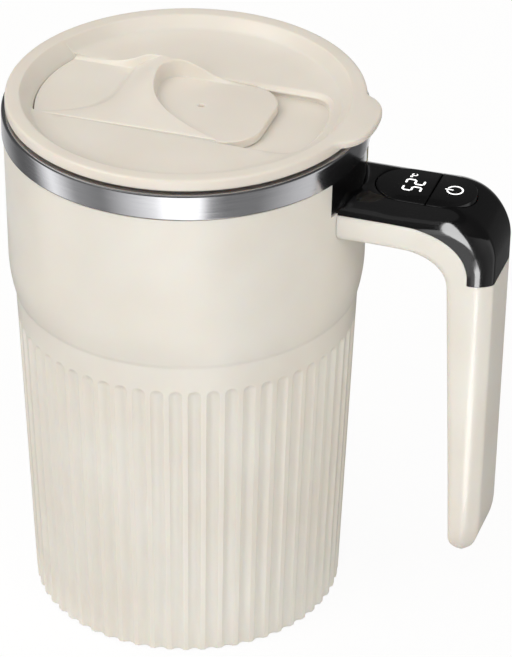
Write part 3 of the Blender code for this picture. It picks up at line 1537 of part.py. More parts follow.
def build_cup():
    clear_scene()
    cream = finish("cream_plastic", (0.80, 0.74, 0.65), 0.42)
    lid_cream = finish("lid_plastic", (0.74, 0.68, 0.59), 0.38)
    black = finish("black_plastic", (0.012, 0.012, 0.013), 0.16)
    smoked = finish("smoked_window", (0.016, 0.016, 0.017), 0.10)
    steel = finish("polished_steel", (0.62, 0.62, 0.63), 0.18, 1.0)
    brushed = finish("brushed_steel", (0.55, 0.55, 0.56), 0.35, 1.0)
    grey = finish("grey_plastic", (0.18, 0.18, 0.19), 0.5)
    silicone = finish("cream_silicone", (0.70, 0.63, 0.53), 0.6)
    clear_silicone = finish("grey_silicone", (0.45, 0.45, 0.45), 0.6)
    bronze = finish("bronze", (0.45, 0.28, 0.12), 0.35, 1.0)
    ceramic = finish("ferrite", (0.06, 0.06, 0.065), 0.6)
    magnet = finish("nickel", (0.6, 0.6, 0.58), 0.25, 1.0)
    copper = finish("copper", (0.55, 0.25, 0.12), 0.4, 1.0)
    board = finish("circuit_board", (0.02, 0.12, 0.05), 0.4)
    cell = finish("cell_wrap", (0.35, 0.42, 0.5), 0.3)
    wire = finish("lead_sleeve", (0.35, 0.05, 0.04), 0.45)
    white_plastic = finish("white_plastic", (0.75, 0.75, 0.73), 0.4)

    make_outer_shell(cream)
    make_rim_band(steel)
    make_inner_cup(brushed)
    make_pivot_pin(steel)
    make_base_cover(cream)
    make_base_seals(clear_silicone)
    place_screws("base_screw", at_height(base_screw_places, base_screw_z), screw_head_radius,
                 base_head_height, base_screw_length, shank_up, steel)
    make_motor_mount(grey)
    mount_head_z = mount_top_z + seat_gap + screw_head_height
    place_screws("mount_screw", at_height(post_places, mount_head_z), screw_head_radius,
                 screw_head_height, post_screw_length, shank_down, steel)
    place_screws("motor_screw", at_height(motor_screw_places, mount_head_z), screw_head_radius,
                 screw_head_height, motor_screw_length, shank_down, steel)
    make_motor(brushed, white_plastic, bronze, ceramic, copper)
    make_drive_hub(grey, magnet)
    make_stirrer(white_plastic, magnet)
    make_sensor(bronze)

    make_lid_body(lid_cream)
    make_lid_seal(clear_silicone)
    make_lid_slider(lid_cream)
    make_slider_seal(clear_silicone)

    make_handle(cream, black, smoked, black)
    make_bracket(brushed, steel)
    joining_places = [(handle_screw_distance, side * handle_screw_spread) for side in (-1, 1)]
    place_screws("handle_screw", at_height(joining_places, handle_screw_z), screw_head_radius,
                 screw_head_height, handle_screw_length, shank_up, steel)
    make_handle_electronics(board, white_plastic, clear_silicone, steel)
    board_head_z = board_top_z + seat_gap + board_head_height
    place_screws("board_screw", at_height(board_post_places, board_head_z), board_head_radius,
                 board_head_height, board_screw_length, shank_down, steel)
    make_grip_parts(cell, grey, board, steel, silicone)
    make_leads(wire)

    axis_empty("drive_axis", (0.0, 0.0, hub_z), ["motor_shaft", "motor_armature", "drive_hub", "drive_magnet_1",
                                             "drive_magnet_2"])
    axis_empty("stirrer_axis", (0.0, 0.0, cup_floor_top_z), ["stirrer", "stirrer_magnet_1", "stirrer_magnet_2",
                                                             "stirrer_cap"])
    axis_empty("lid_axis", (0.0, 0.0, band_top_z), ["lid_body", "lid_seal"])
    axis_empty("slider_axis", (0.0, 0.0, slider_z), ["lid_slider", "slider_seal"])
    axis_empty("button_axis", (button_centre, 0.0, arm_top_z), ["power_button"])
    axis_empty("plug_axis", (port_x, 0.0, grip_foot), ["charge_plug"])


build_cup()
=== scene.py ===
import math

import bmesh
import bpy
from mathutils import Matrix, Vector


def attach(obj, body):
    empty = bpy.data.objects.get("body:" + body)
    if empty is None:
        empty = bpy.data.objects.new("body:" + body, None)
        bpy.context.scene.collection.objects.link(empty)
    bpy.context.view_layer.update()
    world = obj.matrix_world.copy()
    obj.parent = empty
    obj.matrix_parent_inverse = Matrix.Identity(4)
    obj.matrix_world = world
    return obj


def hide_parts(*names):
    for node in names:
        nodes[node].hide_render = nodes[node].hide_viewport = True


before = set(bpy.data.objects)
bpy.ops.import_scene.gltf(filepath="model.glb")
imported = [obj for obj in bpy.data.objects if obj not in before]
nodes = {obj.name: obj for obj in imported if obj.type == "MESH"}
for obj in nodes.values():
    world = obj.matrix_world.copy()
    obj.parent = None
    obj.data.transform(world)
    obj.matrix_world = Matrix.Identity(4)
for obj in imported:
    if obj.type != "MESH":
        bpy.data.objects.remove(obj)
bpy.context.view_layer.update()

# Self-stirring cup. Sizes in the dictionaries are in millimetres, colours are sRGB hex values.
mm = 0.001
print("frame loaded:", len(nodes), "nodes")


# Materials

def hexColour(code):
    # Turns an sRGB hex value into the linear colour that the shader reads.
    channels = [int(code[start:start + 2], 16) / 255 for start in (0, 2, 4)]
    linear = [value / 12.92 if value <= 0.04045 else ((value + 0.055) / 1.055) ** 2.4 for value in channels]
    return (*linear, 1.0)


def addNode(tree, kind, settings=None, links=None):
    # Adds a node, gives it its settings and inputs, and links its inputs to (node, output) pairs.
    node = tree.nodes.new(kind)
    for name, value in (settings or {}).items():
        if name == "stops":
            stops = node.color_ramp.elements
            while len(stops) < len(value):
                stops.new(1.0)
            for stop, (position, colour) in zip(stops, value):
                stop.position = position
                stop.color = colour
        elif isinstance(name, str) and hasattr(node, name):
            setattr(node, name, value)
        else:
            node.inputs[name].default_value = value
    for name, (source, output) in (links or {}).items():
        tree.links.new(source.outputs[output], node.inputs[name])
    return node


def startLook(name, settings):
    # A material with its shader's plain values set, and the coordinates that its patterns use.
    look = bpy.data.materials.new(name)
    look.use_nodes = True
    tree = look.node_tree
    shader = tree.nodes["Principled BSDF"]
    for key, value in settings.items():
        shader.inputs[key].default_value = value
    spots = addNode(tree, "ShaderNodeTexCoord")
    return look, tree, shader, spots


def showSurface(tree, shader):
    tree.links.new(shader.outputs[0], tree.nodes["Material Output"].inputs["Surface"])


def workSurface(tree, shader, patterns, colours, turn, rough, relief, strength):
    # Lets one pattern each drive the colour, the gloss and the relief.
    # colours is (dark, light), turn is where one gives way to the other, and rough is (low, high).
    tone = addNode(tree, "ShaderNodeValToRGB",
                   {"stops": [(at, hexColour(colour)) for at, colour in zip(turn, colours)]},
                   {"Fac": (patterns[0], "Fac")})
    gloss = addNode(tree, "ShaderNodeMapRange",
                    {"From Min": 0.3, "From Max": 0.7, "To Min": rough[0], "To Max": rough[1]},
                    {"Value": (patterns[1], "Fac")})
    bump = addNode(tree, "ShaderNodeBump", {"Strength": strength, "Distance": relief * mm},
                   {"Height": (patterns[2], "Fac")})
    for node, output, entry in ((tone, "Color", "Base Color"), (gloss, "Result", "Roughness"),
                                (bump, "Normal", "Normal")):
        tree.links.new(node.outputs[output], shader.inputs[entry])


def mouldedPlastic(name, light, dark, rough, ior=1.53, cloud=28.0, grain=0.45, relief=0.010, coat=0.0,
                   bleed=0.0):
    # Plastic from a mould: a faint drift of colour where it flowed, and the grain of the mould's surface.
    # cloud and grain are the spacing of the two, relief is the grain's height and rough is (low, high).
    look, tree, shader, spots = startLook(name, {
        "IOR": ior, "Coat Weight": coat, "Coat Roughness": 0.14, "Subsurface Weight": bleed,
        "Subsurface Radius": (1.7 * mm, 0.9 * mm, 0.45 * mm), "Subsurface Scale": 1.0})
    drift, mottle, sand = [
        addNode(tree, "ShaderNodeTexNoise", {"Scale": 1 / (size * mm), "Detail": detail},
                {"Vector": (spots, "Object")})
        for size, detail in ((cloud, 2.0), (6.0, 3.0), (grain, 2.0))]
    workSurface(tree, shader, (drift, mottle, sand), (dark, light), (0.35, 0.65), rough, relief, 0.6)
    return look


def workedMetal(name, light, dark, rough, lines, relief=0.004):
    # Metal with the lines that its tool left. lines is their spacing along X, Y and Z.
    look, tree, shader, spots = startLook(name, {"Metallic": 1.0})
    stretch = addNode(tree, "ShaderNodeMapping", {"Scale": tuple(1 / (size * mm) for size in lines)},
                      {"Vector": (spots, "Object")})
    tool = addNode(tree, "ShaderNodeTexNoise", {"Scale": 1.0, "Detail": 4.0, "Roughness": 0.6},
                   {"Vector": (stretch, "Vector")})
    workSurface(tree, shader, (tool, tool, tool), (dark, light), (0.3, 0.7), rough, relief, 0.5)
    return look


def litDiffuser(name, light, dark):
    # Lit plastic whose glow is a touch uneven.
    look, tree, shader, spots = startLook(name, {"Emission Strength": 1.0, "Roughness": 0.4})
    haze = addNode(tree, "ShaderNodeTexNoise", {"Scale": 1 / (1.5 * mm)}, {"Vector": (spots, "Object")})
    tone = addNode(tree, "ShaderNodeValToRGB", {"stops": [(0.3, hexColour(dark)), (0.7, hexColour(light))]},
                   {"Fac": (haze, "Fac")})
    for entry in ("Emission Color", "Base Color"):
        tree.links.new(tone.outputs["Color"], shader.inputs[entry])
    return look


# Cream ABS moulded against a fine spark-eroded wall: soft satin, no grain to count from a metre away.
creamShell = mouldedPlastic("cream_abs_satin_moulded", "ebe9e3", "e7e3db", (0.36, 0.44), coat=0.25,
                            bleed=0.28)
# The lid's ABS, a shade darker and from a smoother mould: the same soft satin.
creamLid = mouldedPlastic("cream_abs_lid_moulded", "eae5dd", "e6e0d7", (0.34, 0.42), coat=0.2, bleed=0.28)
# High-gloss black ABS from a polished mould: near mirror, with a faint orange peel.
glossBlack = mouldedPlastic("black_abs_polished_moulded", "0d0d0e", "0a0a0b", (0.10, 0.14), grain=2.6,
                            relief=0.003)
# Smoked acrylic, flame polished: flatter and glossier than the ABS round it.
smokedAcrylic = mouldedPlastic("smoked_acrylic_polished", "0f0f10", "0c0c0d", (0.05, 0.08), ior=1.49,
                               grain=5.0, relief=0.001)
# Black touch key, moulded and polished like the window: a little less glossy from fingers.
keyBlack = mouldedPlastic("black_key_polished_moulded", "0e0e0f", "0b0b0c", (0.09, 0.14), grain=4.0,
                          relief=0.001)
# Polypropylene moulded white: milky, with a soft gloss.
whiteNylon = mouldedPlastic("white_polypropylene_moulded", "e8e7e2", "dedcd5", (0.38, 0.5), ior=1.49,
                            bleed=0.15)
# Glass-filled nylon moulded grey: dry and slightly speckled.
greyNylon = mouldedPlastic("grey_filled_nylon_moulded", "55565a", "47484c", (0.5, 0.62), cloud=1.2,
                           relief=0.02)
# Silicone rubber pressed in a matt mould: dull, and soft at its edges where light goes in.
greySilicone = mouldedPlastic("grey_silicone_matt_moulded", "b4b1aa", "a8a59e", (0.55, 0.68), ior=1.41,
                              bleed=0.2)
creamSilicone = mouldedPlastic("cream_silicone_matt_moulded", "ddd2c0", "d6cab6", (0.5, 0.62), ior=1.41,
                               bleed=0.2)
# Sintered ferrite: dark, dry and granular.
ferrite = mouldedPlastic("ferrite_sintered", "3a3a3d", "2b2b2e", (0.6, 0.75), ior=2.2, cloud=0.8, relief=0.03)
# PVC sleeve drawn over stranded wire: an even, waxy shine.
leadSleeve = mouldedPlastic("red_pvc_extruded", "8a2420", "7a1d1a", (0.4, 0.5), ior=1.52, cloud=5.0)
# Heat-shrunk film round the cell: glossy with faint wrinkles.
cellFilm = mouldedPlastic("blue_film_shrunk", "7f9dbd", "6f8fb1", (0.2, 0.34), ior=1.57, grain=3.0,
                          relief=0.03)
# Glass-fibre board under green solder mask: lacquered, with the fibres just showing.
boardMask = mouldedPlastic("board_glass_fibre_masked", "1f6b3c", "175430", (0.28, 0.4), ior=1.55, cloud=1.4,
                           grain=0.8, relief=0.01)
# Stainless steel rolled and mirror polished: clear reflections, with a trace of the wheel running round it.
polishedSteel = workedMetal("stainless_steel_polished", "c9c9cb", "bfbfc2", (0.13, 0.19), (9.0, 9.0, 0.35),
                            0.0012)
# Stainless steel drawn and spun: fine rings that widen the highlight.
drawnSteel = workedMetal("stainless_steel_brushed", "c2c1bf", "aeaeae", (0.26, 0.36), (8.0, 8.0, 0.3))
# Zinc-plated steel, barrel finished: small soft dents.
platedSteel = workedMetal("zinc_plated_steel", "c6c8cb", "b2b5ba", (0.28, 0.38), (0.6, 0.6, 0.6))
# Nickel plate over a sintered magnet: bright with a slight pebble.
nickelPlate = workedMetal("nickel_plated_magnet", "cbc9c2", "bdbab2", (0.18, 0.26), (0.9, 0.9, 0.9))
# Sintered bronze, oil filled: warm and open grained.
sinteredBronze = workedMetal("bronze_sintered", "a8794a", "8a5f38", (0.4, 0.55), (0.3, 0.3, 0.3), 0.01)
# Enamelled copper wire, wound: bands of wire across the coil.
woundCopper = workedMetal("copper_wire_wound", "c8794a", "8f4a28", (0.3, 0.45), (1.2, 1.2, 0.4), 0.05)
# Diffuser over white LEDs, moulded: a clean white glow.
litWhite = litDiffuser("white_led_diffuser", "ffffff", "f4f6f8")
print("materials made")


# Mesh tools

def finishPiece(name, form, look, crease=32):
    # Turns a bmesh in millimetres into a smooth object with its real edges kept.
    bmesh.ops.recalc_face_normals(form, faces=form.faces)
    bmesh.ops.scale(form, vec=(mm, mm, mm), verts=form.verts)
    mesh = bpy.data.meshes.new(name)
    form.to_mesh(mesh)
    form.free()
    piece = bpy.data.objects.new(name, mesh)
    bpy.context.scene.collection.objects.link(piece)
    dress(mesh, look, crease)
    return piece


def dress(mesh, look, crease):
    # Gives a mesh its one material, and smooth shading up to the crease angle in degrees.
    mesh.materials.clear()
    mesh.materials.append(look)
    mesh.shade_smooth()
    mesh.set_sharp_from_angle(angle=math.radians(crease))


def trim(piece, form, operation="DIFFERENCE", crease=32):
    # Cuts, joins or keeps the overlap of a piece with a form in millimetres.
    look = piece.data.materials[0]
    tool = finishPiece("trim_tool", form, look)
    step = piece.modifiers.new("trim", "BOOLEAN")
    step.operation = operation
    step.object = tool
    piece.data = bpy.data.meshes.new_from_object(piece.evaluated_get(bpy.context.evaluated_depsgraph_get()))
    piece.modifiers.clear()
    dress(piece.data, look, crease)
    bpy.data.objects.remove(tool)


def place(piece, body, slot, *replaced):
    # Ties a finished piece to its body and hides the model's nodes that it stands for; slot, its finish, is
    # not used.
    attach(piece, body)
    if replaced:
        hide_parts(*replaced)
    return piece


def between(start, end, share):
    return start + (end - start) * share


def bend(start, corner, end, steps):
    # Short curve from start to end that bends at the corner.
    return [tuple(start[axis] * (1 - t) ** 2 + corner[axis] * 2 * t * (1 - t) + end[axis] * t ** 2
                  for axis in range(len(start))) for t in (step / steps for step in range(steps + 1))]


def polar(radius, turn, z, centre=(0.0, 0.0)):
    # Point at a radius and an angle in radians about a centre.
    return centre[0] + radius * math.cos(turn), centre[1] + radius * math.sin(turn), z


def arc(centre, radius, start, end, steps):
    # Points (x, y) of an arc, angles in degrees.
    return [polar(radius, math.radians(between(start, end, step / steps)), 0.0, centre)[:2]
            for step in range(steps + 1)]


def ringAt(radius, z, sides, centre=(0.0, 0.0)):
    return [polar(radius, 2 * math.pi * index / sides, z, centre) for index in range(sides)]


def softPath(corners, steps=5, closed=True):
    # Outline through (x, y) corners. A third value rounds the corner over that length on each side.
    points = []
    count = len(corners)
    for index, corner in enumerate(corners):
        here = Vector(corner[:2])
        ends = not closed and index in (0, count - 1)
        if len(corner) < 3 or ends:
            points.append((here.x, here.y))
            continue
        start, end = [here + (Vector(other[:2]) - here).normalized() * corner[2]
                      for other in (corners[index - 1], corners[(index + 1) % count])]
        for step in range(steps + 1):
            t = step / steps
            spot = start * (1 - t) ** 2 + here * 2 * t * (1 - t) + end * t ** 2
            points.append((spot.x, spot.y))
    return points


def roundedBox(left, right, half, corner, steps=5):
    corners = [(left, -half, corner), (right, -half, corner), (right, half, corner), (left, half, corner)]
    return softPath(corners, steps)


def insetOutline(outline, distance):
    # Moves each point of a smooth, anticlockwise outline inwards along its normal.
    moved = []
    count = len(outline)
    for index, point in enumerate(outline):
        along = (Vector(outline[(index + 1) % count]) - Vector(outline[index - 1])).normalized()
        moved.append((point[0] - along.y * distance, point[1] + along.x * distance))
    return moved


def skin(form, rings, closeEnds=True, closeStack=False):
    # Bridges rings of equal count, in millimetres.
    rows = [[form.verts.new(point) for point in ring] for ring in rings]
    count = len(rows[0])
    pairs = list(zip(rows, rows[1:]))
    if closeStack:
        pairs.append((rows[-1], rows[0]))
    for low, high in pairs:
        for index in range(count):
            after = (index + 1) % count
            form.faces.new((low[index], low[after], high[after], high[index]))
    if closeEnds and not closeStack:
        form.faces.new(rows[0])
        form.faces.new(rows[-1])
    return form


def lathe(form, profile, sides, centre=(0.0, 0.0)):
    # Turns a closed (radius, z) profile about a vertical axis; a profile from axis to axis makes a solid.
    solid = profile[0][0] == 0
    points = profile[1:-1] if solid else profile
    rings = [ringAt(radius, z, sides, centre) for radius, z in points]
    return skin(form, rings, closeEnds=solid, closeStack=not solid)


def turned(name, profile, sides, look):
    return finishPiece(name, lathe(bmesh.new(), profile, sides), look)


def pegInto(form, radius, low, high, centre, sides=24):
    return lathe(form, [(0, low), (radius, low), (radius, high), (0, high)], sides, centre)


def rodAlongX(form, radius, start, end, y, z, sides=24):
    ring = ringAt(radius, 0.0, sides)
    return skin(form, [[(x, y + across, z + up) for across, up, _ in ring] for x in (start, end)])


def prism(outline, layers, form=None):
    # Stacks one outline at (z, inset) layers.
    rings = [[(x, y, z) for x, y in insetOutline(outline, inset)] for z, inset in layers]
    return skin(form or bmesh.new(), rings)


def upright(outline, low, high, form=None):
    # Straight wall on an outline of any shape.
    return skin(form or bmesh.new(), [[(x, y, z) for x, y in outline] for z in (low, high)])


def block(low, high):
    outline = [(low[0], low[1]), (high[0], low[1]), (high[0], high[1]), (low[0], high[1])]
    return upright(outline, low[2], high[2])


def smoothStep(share):
    share = min(max(share, 0.0), 1.0)
    return share * share * (3 - 2 * share)


def smoothTable(table, at):
    # Smooth curve through a table of (place, value) pairs.
    last = len(table) - 2
    index = next((index for index in range(last) if at <= table[index + 1][0]), last)
    (x1, y1), (x2, y2) = table[index], table[index + 1]
    x0, y0 = table[max(index - 1, 0)]
    x3, y3 = table[min(index + 2, last + 1)]
    slopeIn = (y2 - y0) / (x2 - x0)
    slopeOut = (y3 - y1) / (x3 - x1)
    width = x2 - x1
    t = min(max((at - x1) / width, 0.0), 1.0)
    return ((2 * t ** 3 - 3 * t ** 2 + 1) * y1 + (t ** 3 - 2 * t ** 2 + t) * slopeIn * width
            + (3 * t ** 2 - 2 * t ** 3) * y2 + (t ** 3 - t ** 2) * slopeOut * width)


# Screws and leads: their holes, and the pillars and heads that go with them

fixings = {
    "hole": 1.3, "head": 2.1, "baseReach": 32.8, "baseTurns": (30, 150, 270), "baseFoot": 2.0, "baseTop": 7.2,
    "rootY": 5.2, "rootZ": 118.0,
    "armX": 59.0, "armY": 9.4, "armFoot": 114.0, "headTop": 117.3, "armTop": 121.0,
    "pillar": 2.7, "pillarFoot": 116.4, "pillarTop": 119.8, "leadHole": 0.9, "leadY": 1.7, "leadZ": 124.6,
}


# Outer shell

shell = {
    "foot": 0.4, "footRadius": 39.95, "shoulder": 88.1, "shoulderRadius": 43.5, "shoulderRound": 1.6,
    "upper": 99.3, "upperRadius": 45.15, "bandFoot": 132.0, "topRadius": 45.6,
    "lipRadius": 45.2, "top": 138.2,
    "lowerWall": 2.6, "upperWall": 2.0, "ledge": 3.6, "ledgeTop": 7.6, "ledgeRadius": 31.55,
    "flutes": 58, "fluteDepth": 0.8, "fluteTop": 81.7, "grooveShare": 0.72, "footRound": 0.5,
    "notchHalf": 15.3, "notchFoot": 122.8, "notchTop": 141.0, "notchReach": 48.0,
    # mesh columns across one flute, as shares of half its pitch
    "columns": (-0.76, -0.72, -0.65, -0.54, -0.38, -0.20, 0.0, 0.20, 0.38, 0.54, 0.65, 0.72, 0.76, 1.0),
}


def shellRadius(z):
    # Outside of the shell on its ridges, with a soft turn where the shoulder starts.
    lowerSlope = (shell["shoulderRadius"] - shell["footRadius"]) / (shell["shoulder"] - shell["foot"])
    above = z - shell["shoulder"]
    line = shell["shoulderRadius"] + above * lowerSlope
    if above <= 0:
        return line
    if z <= shell["upper"]:
        share = above / (shell["upper"] - shell["shoulder"])
        radius = between(shell["shoulderRadius"], shell["upperRadius"], 1 - (1 - share) ** 2)
        if above < shell["shoulderRound"]:
            radius += (line - radius) * (1 - smoothStep(above / shell["shoulderRound"]))
        return radius
    share = min((z - shell["upper"]) / (shell["bandFoot"] - shell["upper"]), 1.0)
    return between(shell["upperRadius"], shell["topRadius"], share)


def grooveDepth(z, offset, radius):
    # Depth of a round-ended groove at a distance along the wall from its middle.
    half = shell["grooveShare"] * math.pi * radius / shell["flutes"]
    above = max(z - (shell["fluteTop"] - half), 0.0)
    inside = 1 - math.hypot(offset * radius, above) / half
    if inside <= 0:
        return 0.0
    return shell["fluteDepth"] * (1 - (1 - min(inside, 1.0)) ** 2)


def shellRows():
    # Heights of the mesh rows, close together where the wall turns.
    groups = (
        ("foot", (0.0, 0.04, 0.15, 0.32, 0.5, 1.0, 7.6, 19.6, 31.6, 43.6, 55.6, 67.6)),
        ("fluteTop", (-4.7, *(0.2 * step - 3.3 for step in range(19)), 0.9, 2.3, 4.3, 5.7)),
        ("shoulder", (*(0.2 * step for step in range(9)), 2.1, 2.7, 3.5,
                      *(0.9 * step + 4.3 for step in range(8)))),
        ("upper", (0.0, 0.7, 4.7, 14.7, 22.7)),
        ("bandFoot", (-0.8, -0.2, 0.0)),
    )
    return [shell[name] + up for name, ups in groups for up in ups]


def makeOuterShell():
    pitch = 2 * math.pi / shell["flutes"]
    columns = [(index * pitch, share * pitch / 2)
               for index in range(shell["flutes"]) for share in shell["columns"]]
    rings = []
    for z in shellRows():
        radius = shellRadius(z)
        rise = min((z - shell["foot"]) / shell["footRound"], 1.0)
        curl = shell["footRound"] * (1 - math.sqrt(1 - (1 - rise) ** 2))
        rings.append([polar(radius - curl - grooveDepth(z, offset, radius), middle + offset, z)
                      for middle, offset in columns])
    footInner = shell["footRadius"] - shell["lowerWall"]
    inner = [(shell["lipRadius"], shell["bandFoot"]), (shell["lipRadius"], shell["top"])]
    inner += [(shellRadius(z) - shell["upperWall"], z) for z in (shell["top"], shell["upper"])]
    inner += [(shellRadius(z) - shell["lowerWall"], z) for z in (shell["shoulder"], shell["ledgeTop"])]
    inner += [(shell["ledgeRadius"], shell["ledgeTop"]), (shell["ledgeRadius"], shell["ledge"]),
              (footInner, shell["ledge"]), (footInner, shell["foot"])]
    rings += [[polar(radius, middle + offset, z) for middle, offset in columns] for radius, z in inner]
    piece = finishPiece("cup_outer_shell", skin(bmesh.new(), rings, closeStack=True), creamShell, crease=40)
    openings = block((0.0, -shell["notchHalf"], shell["notchFoot"]),
                     (shell["notchReach"], shell["notchHalf"], shell["notchTop"]))
    for side in (-1, 1):
        rodAlongX(openings, fixings["hole"], 40.0, shell["notchReach"], fixings["rootY"] * side,
                  fixings["rootZ"])
    for turn in fixings["baseTurns"]:
        spot = polar(fixings["baseReach"], math.radians(turn), 0.0)
        pegInto(openings, fixings["hole"], fixings["baseFoot"], fixings["baseTop"], spot)
    trim(piece, openings, crease=40)
    place(piece, "cup", "cream_plastic", "outer_shell")


makeOuterShell()
print("outer shell made")


# Steel band, inner cup and base

band = {"radius": 46.0, "foot": 132.3, "top": 139.0, "steel": 0.5, "lip": 41.0, "roll": 0.7, "sides": 232}
liner = {"mouth": 40.7, "foot": 36.6, "steel": 0.5, "floor": 36.0, "corner": 6.0, "top": 139.0, "sides": 174}
pad = {"underside": 0.15, "top": 1.0, "radius": 35.0, "gripRings": (8.0, 14.0, 20.0, 26.0), "sides": 174}


def makeBand():
    outer, inner = band["radius"], band["radius"] - band["steel"]
    under = band["top"] - band["steel"]
    profile = softPath([
        (inner, band["foot"], 0.1), (outer, band["foot"], 0.25), (outer, band["top"], band["roll"]),
        (band["lip"], band["top"], 0.1), (band["lip"], under, 0.1), (inner, under, 0.2)])
    piece = turned("cup_rim_band", profile, band["sides"], polishedSteel)
    place(piece, "cup", "polished_steel", "rim_band")


def makeInnerCup():
    corner = liner["floor"] + liner["corner"]
    foot = between(liner["foot"], liner["mouth"], liner["corner"] / (liner["top"] - liner["floor"]))
    centre = (foot - liner["corner"], corner)
    profile = [(0, liner["floor"])] + arc(centre, liner["corner"], -90, 0, 10)
    profile += [(liner["mouth"], liner["top"]), (liner["mouth"] - liner["steel"], liner["top"])]
    profile += arc(centre, liner["corner"] - liner["steel"], 0, -90, 10)
    profile += [(0, liner["floor"] + liner["steel"])]
    piece = turned("cup_drawn_liner", profile, liner["sides"], drawnSteel)
    place(piece, "cup", "brushed_steel", "inner_cup")


def makeBasePad():
    # Foot pad that stands on its rim and on raised grip rings.
    low, high, radius = pad["underside"], pad["top"], pad["radius"]
    profile = [(0, low)]
    for ring in pad["gripRings"]:
        profile += softPath([(ring, low), (ring + 0.3, 0.0, 0.2), (ring + 2.0, 0.0, 0.2), (ring + 2.3, low)],
                            3, closed=False)
    profile += [(radius - 3.0, low), (radius - 2.7, 0.0), (radius - 0.5, 0.0), (radius - 0.1, 0.2),
                (radius, 0.5), (radius, high - 0.1), (radius - 0.1, high), (0, high)]
    place(turned("cup_foot_pad", profile, pad["sides"], greySilicone), "cup", "silicone", "base_pad")


makeBand()
makeInnerCup()
makeBasePad()
print("band, liner and pad made")


# Lid

lid = {
    "top": 142.6, "flange": 45.0, "flangeFoot": 139.6, "rest": 139.3, "step": 43.0, "rimInner": 41.2,
    "slopeFoot": 38.7, "basin": 139.0, "basinRadius": 35.8, "under": 134.4, "skirtFoot": 126.5, "plug": 39.3,
    "skirtInner": 36.7, "seal": 129.5, "sealTop": 132.5, "sealRadius": 39.97,
    "sealBody": 39.4, "groove": 37.9,
    "grooveGap": 0.3, "middle": 30.0, "sides": 696, "sealSides": 174,
}
tab = {
    "layer": 140.8, "stepFoot": 140.2,
    # angle from the middle in degrees, and how far the tab and the step under it stand out there
    "tip": ((0.0, 4.5), (5.9, 4.34), (10.3, 3.7), (13.97, 2.2), (16.3, 0.6), (19.0, 0.0), (60.0, 0.0)),
    "under": ((0.0, 2.25), (7.0, 2.1), (10.5, 1.5), (13.0, 0.6), (15.5, 0.0), (60.0, 0.0)),
}
channel = {
    "half": 15.2, "floor": 136.2, "cutFrom": 137.1, "left": 38.0, "right": 35.5, "corner": 6.0, "rail": 1.0,
    "railTop": 137.7,
    # height and radius of the wall that the channel cuts into the rim at its left end
    "endWall": ((138.0, 38.0), (138.5, 38.05), (139.4, 38.8), (142.3, 41.0), (142.55, 41.4), (144.0, 43.0)),
    "endWallFrom": -30.0,
    # height and how far the edge stands back there, where the closure slides open
    "softEdge": ((137.9, -0.05), (138.2, 0.2), (138.6, 0.55), (138.85, 0.9), (139.0, 1.35), (141.0, 1.4)),
    "softEdgeFrom": 15.0, "softEdgeSpread": 3.0,
}
drink = {"left": -34.6, "right": -28.4, "half": 8.0, "corner": 2.0, "vent": -26.4, "ventRadius": 0.9,
         "foot": 134.0, "top": 137.0}


def channelOutline(half):
    left = math.degrees(math.asin(half / channel["left"]))
    cornerY = half - channel["corner"]
    cornerX = math.sqrt((channel["right"] - channel["corner"]) ** 2 - cornerY ** 2)
    turn = math.degrees(math.atan2(cornerY, cornerX))
    return (arc((0, 0), channel["left"], 180 - left, 180 + left, 28)
            + arc((cornerX, -cornerY), channel["corner"], -90, -turn, 12)
            + arc((0, 0), channel["right"], -turn, turn, 14)[1:-1]
            + arc((cornerX, cornerY), channel["corner"], turn, 90, 12))


def lidEdge(turn):
    # (radius, height) points up the flange's edge, with the tab and the step under it, at a turn in degrees.
    flange, foot, layer, top = lid["flange"], lid["flangeFoot"], tab["layer"], lid["top"]
    away = min(turn, 360 - turn)
    tip, step = [flange + (max(smoothTable(table, away), 0.0) if away < table[-2][0] else 0.0)
                 for table in (tab["tip"], tab["under"])]
    return [(flange - 0.5, foot), (flange - 0.15, foot + 0.15), (flange, foot + 0.5),
            (flange, tab["stepFoot"]),
            (max(flange, step - 0.3), tab["stepFoot"]), (step, tab["stepFoot"] + 0.2), (step, layer - 0.1),
            (max(step, tip - 0.5), layer), (max(step, tip - 0.12), layer + 0.1), (tip, layer + 0.4),
            (tip, top - 0.6), (tip - 0.08, top - 0.3), (tip - 0.25, top - 0.1), (tip - 0.6, top),
            (min(flange - 1.2, tip - 1.0), top)]


def lidForm():
    middle, plug, skirt = lid["middle"], lid["plug"], lid["skirtInner"]
    sealFoot, sealTop = lid["seal"] - lid["grooveGap"], lid["sealTop"] + lid["grooveGap"]
    outside = [(middle, lid["under"]), (skirt - 0.6, lid["under"]), (skirt, lid["under"] - 0.6),
               (skirt, lid["skirtFoot"] + 0.3), (skirt + 0.3, lid["skirtFoot"]),
               (plug - 0.6, lid["skirtFoot"]),
               (plug - 0.1, lid["skirtFoot"] + 0.3), (plug, lid["skirtFoot"] + 0.8), (plug, sealFoot),
               (lid["groove"], sealFoot), (lid["groove"], sealTop), (plug, sealTop), (plug, lid["rest"]),
               (lid["step"], lid["rest"]), (lid["step"], lid["flangeFoot"])]
    inside = softPath([(lid["rimInner"] + 1.6, lid["top"]), (lid["rimInner"], lid["top"], 0.5),
                       (lid["slopeFoot"], lid["basin"] + 0.6, 0.6), (lid["basinRadius"], lid["basin"], 1.9),
                       (middle, lid["basin"])], 6, closed=False)
    turns = [360 * index / lid["sides"] for index in range(lid["sides"])]
    columns = [[polar(radius, math.radians(turn), z) for radius, z in outside + lidEdge(turn) + inside]
               for turn in turns]
    return skin(bmesh.new(), list(zip(*columns)))


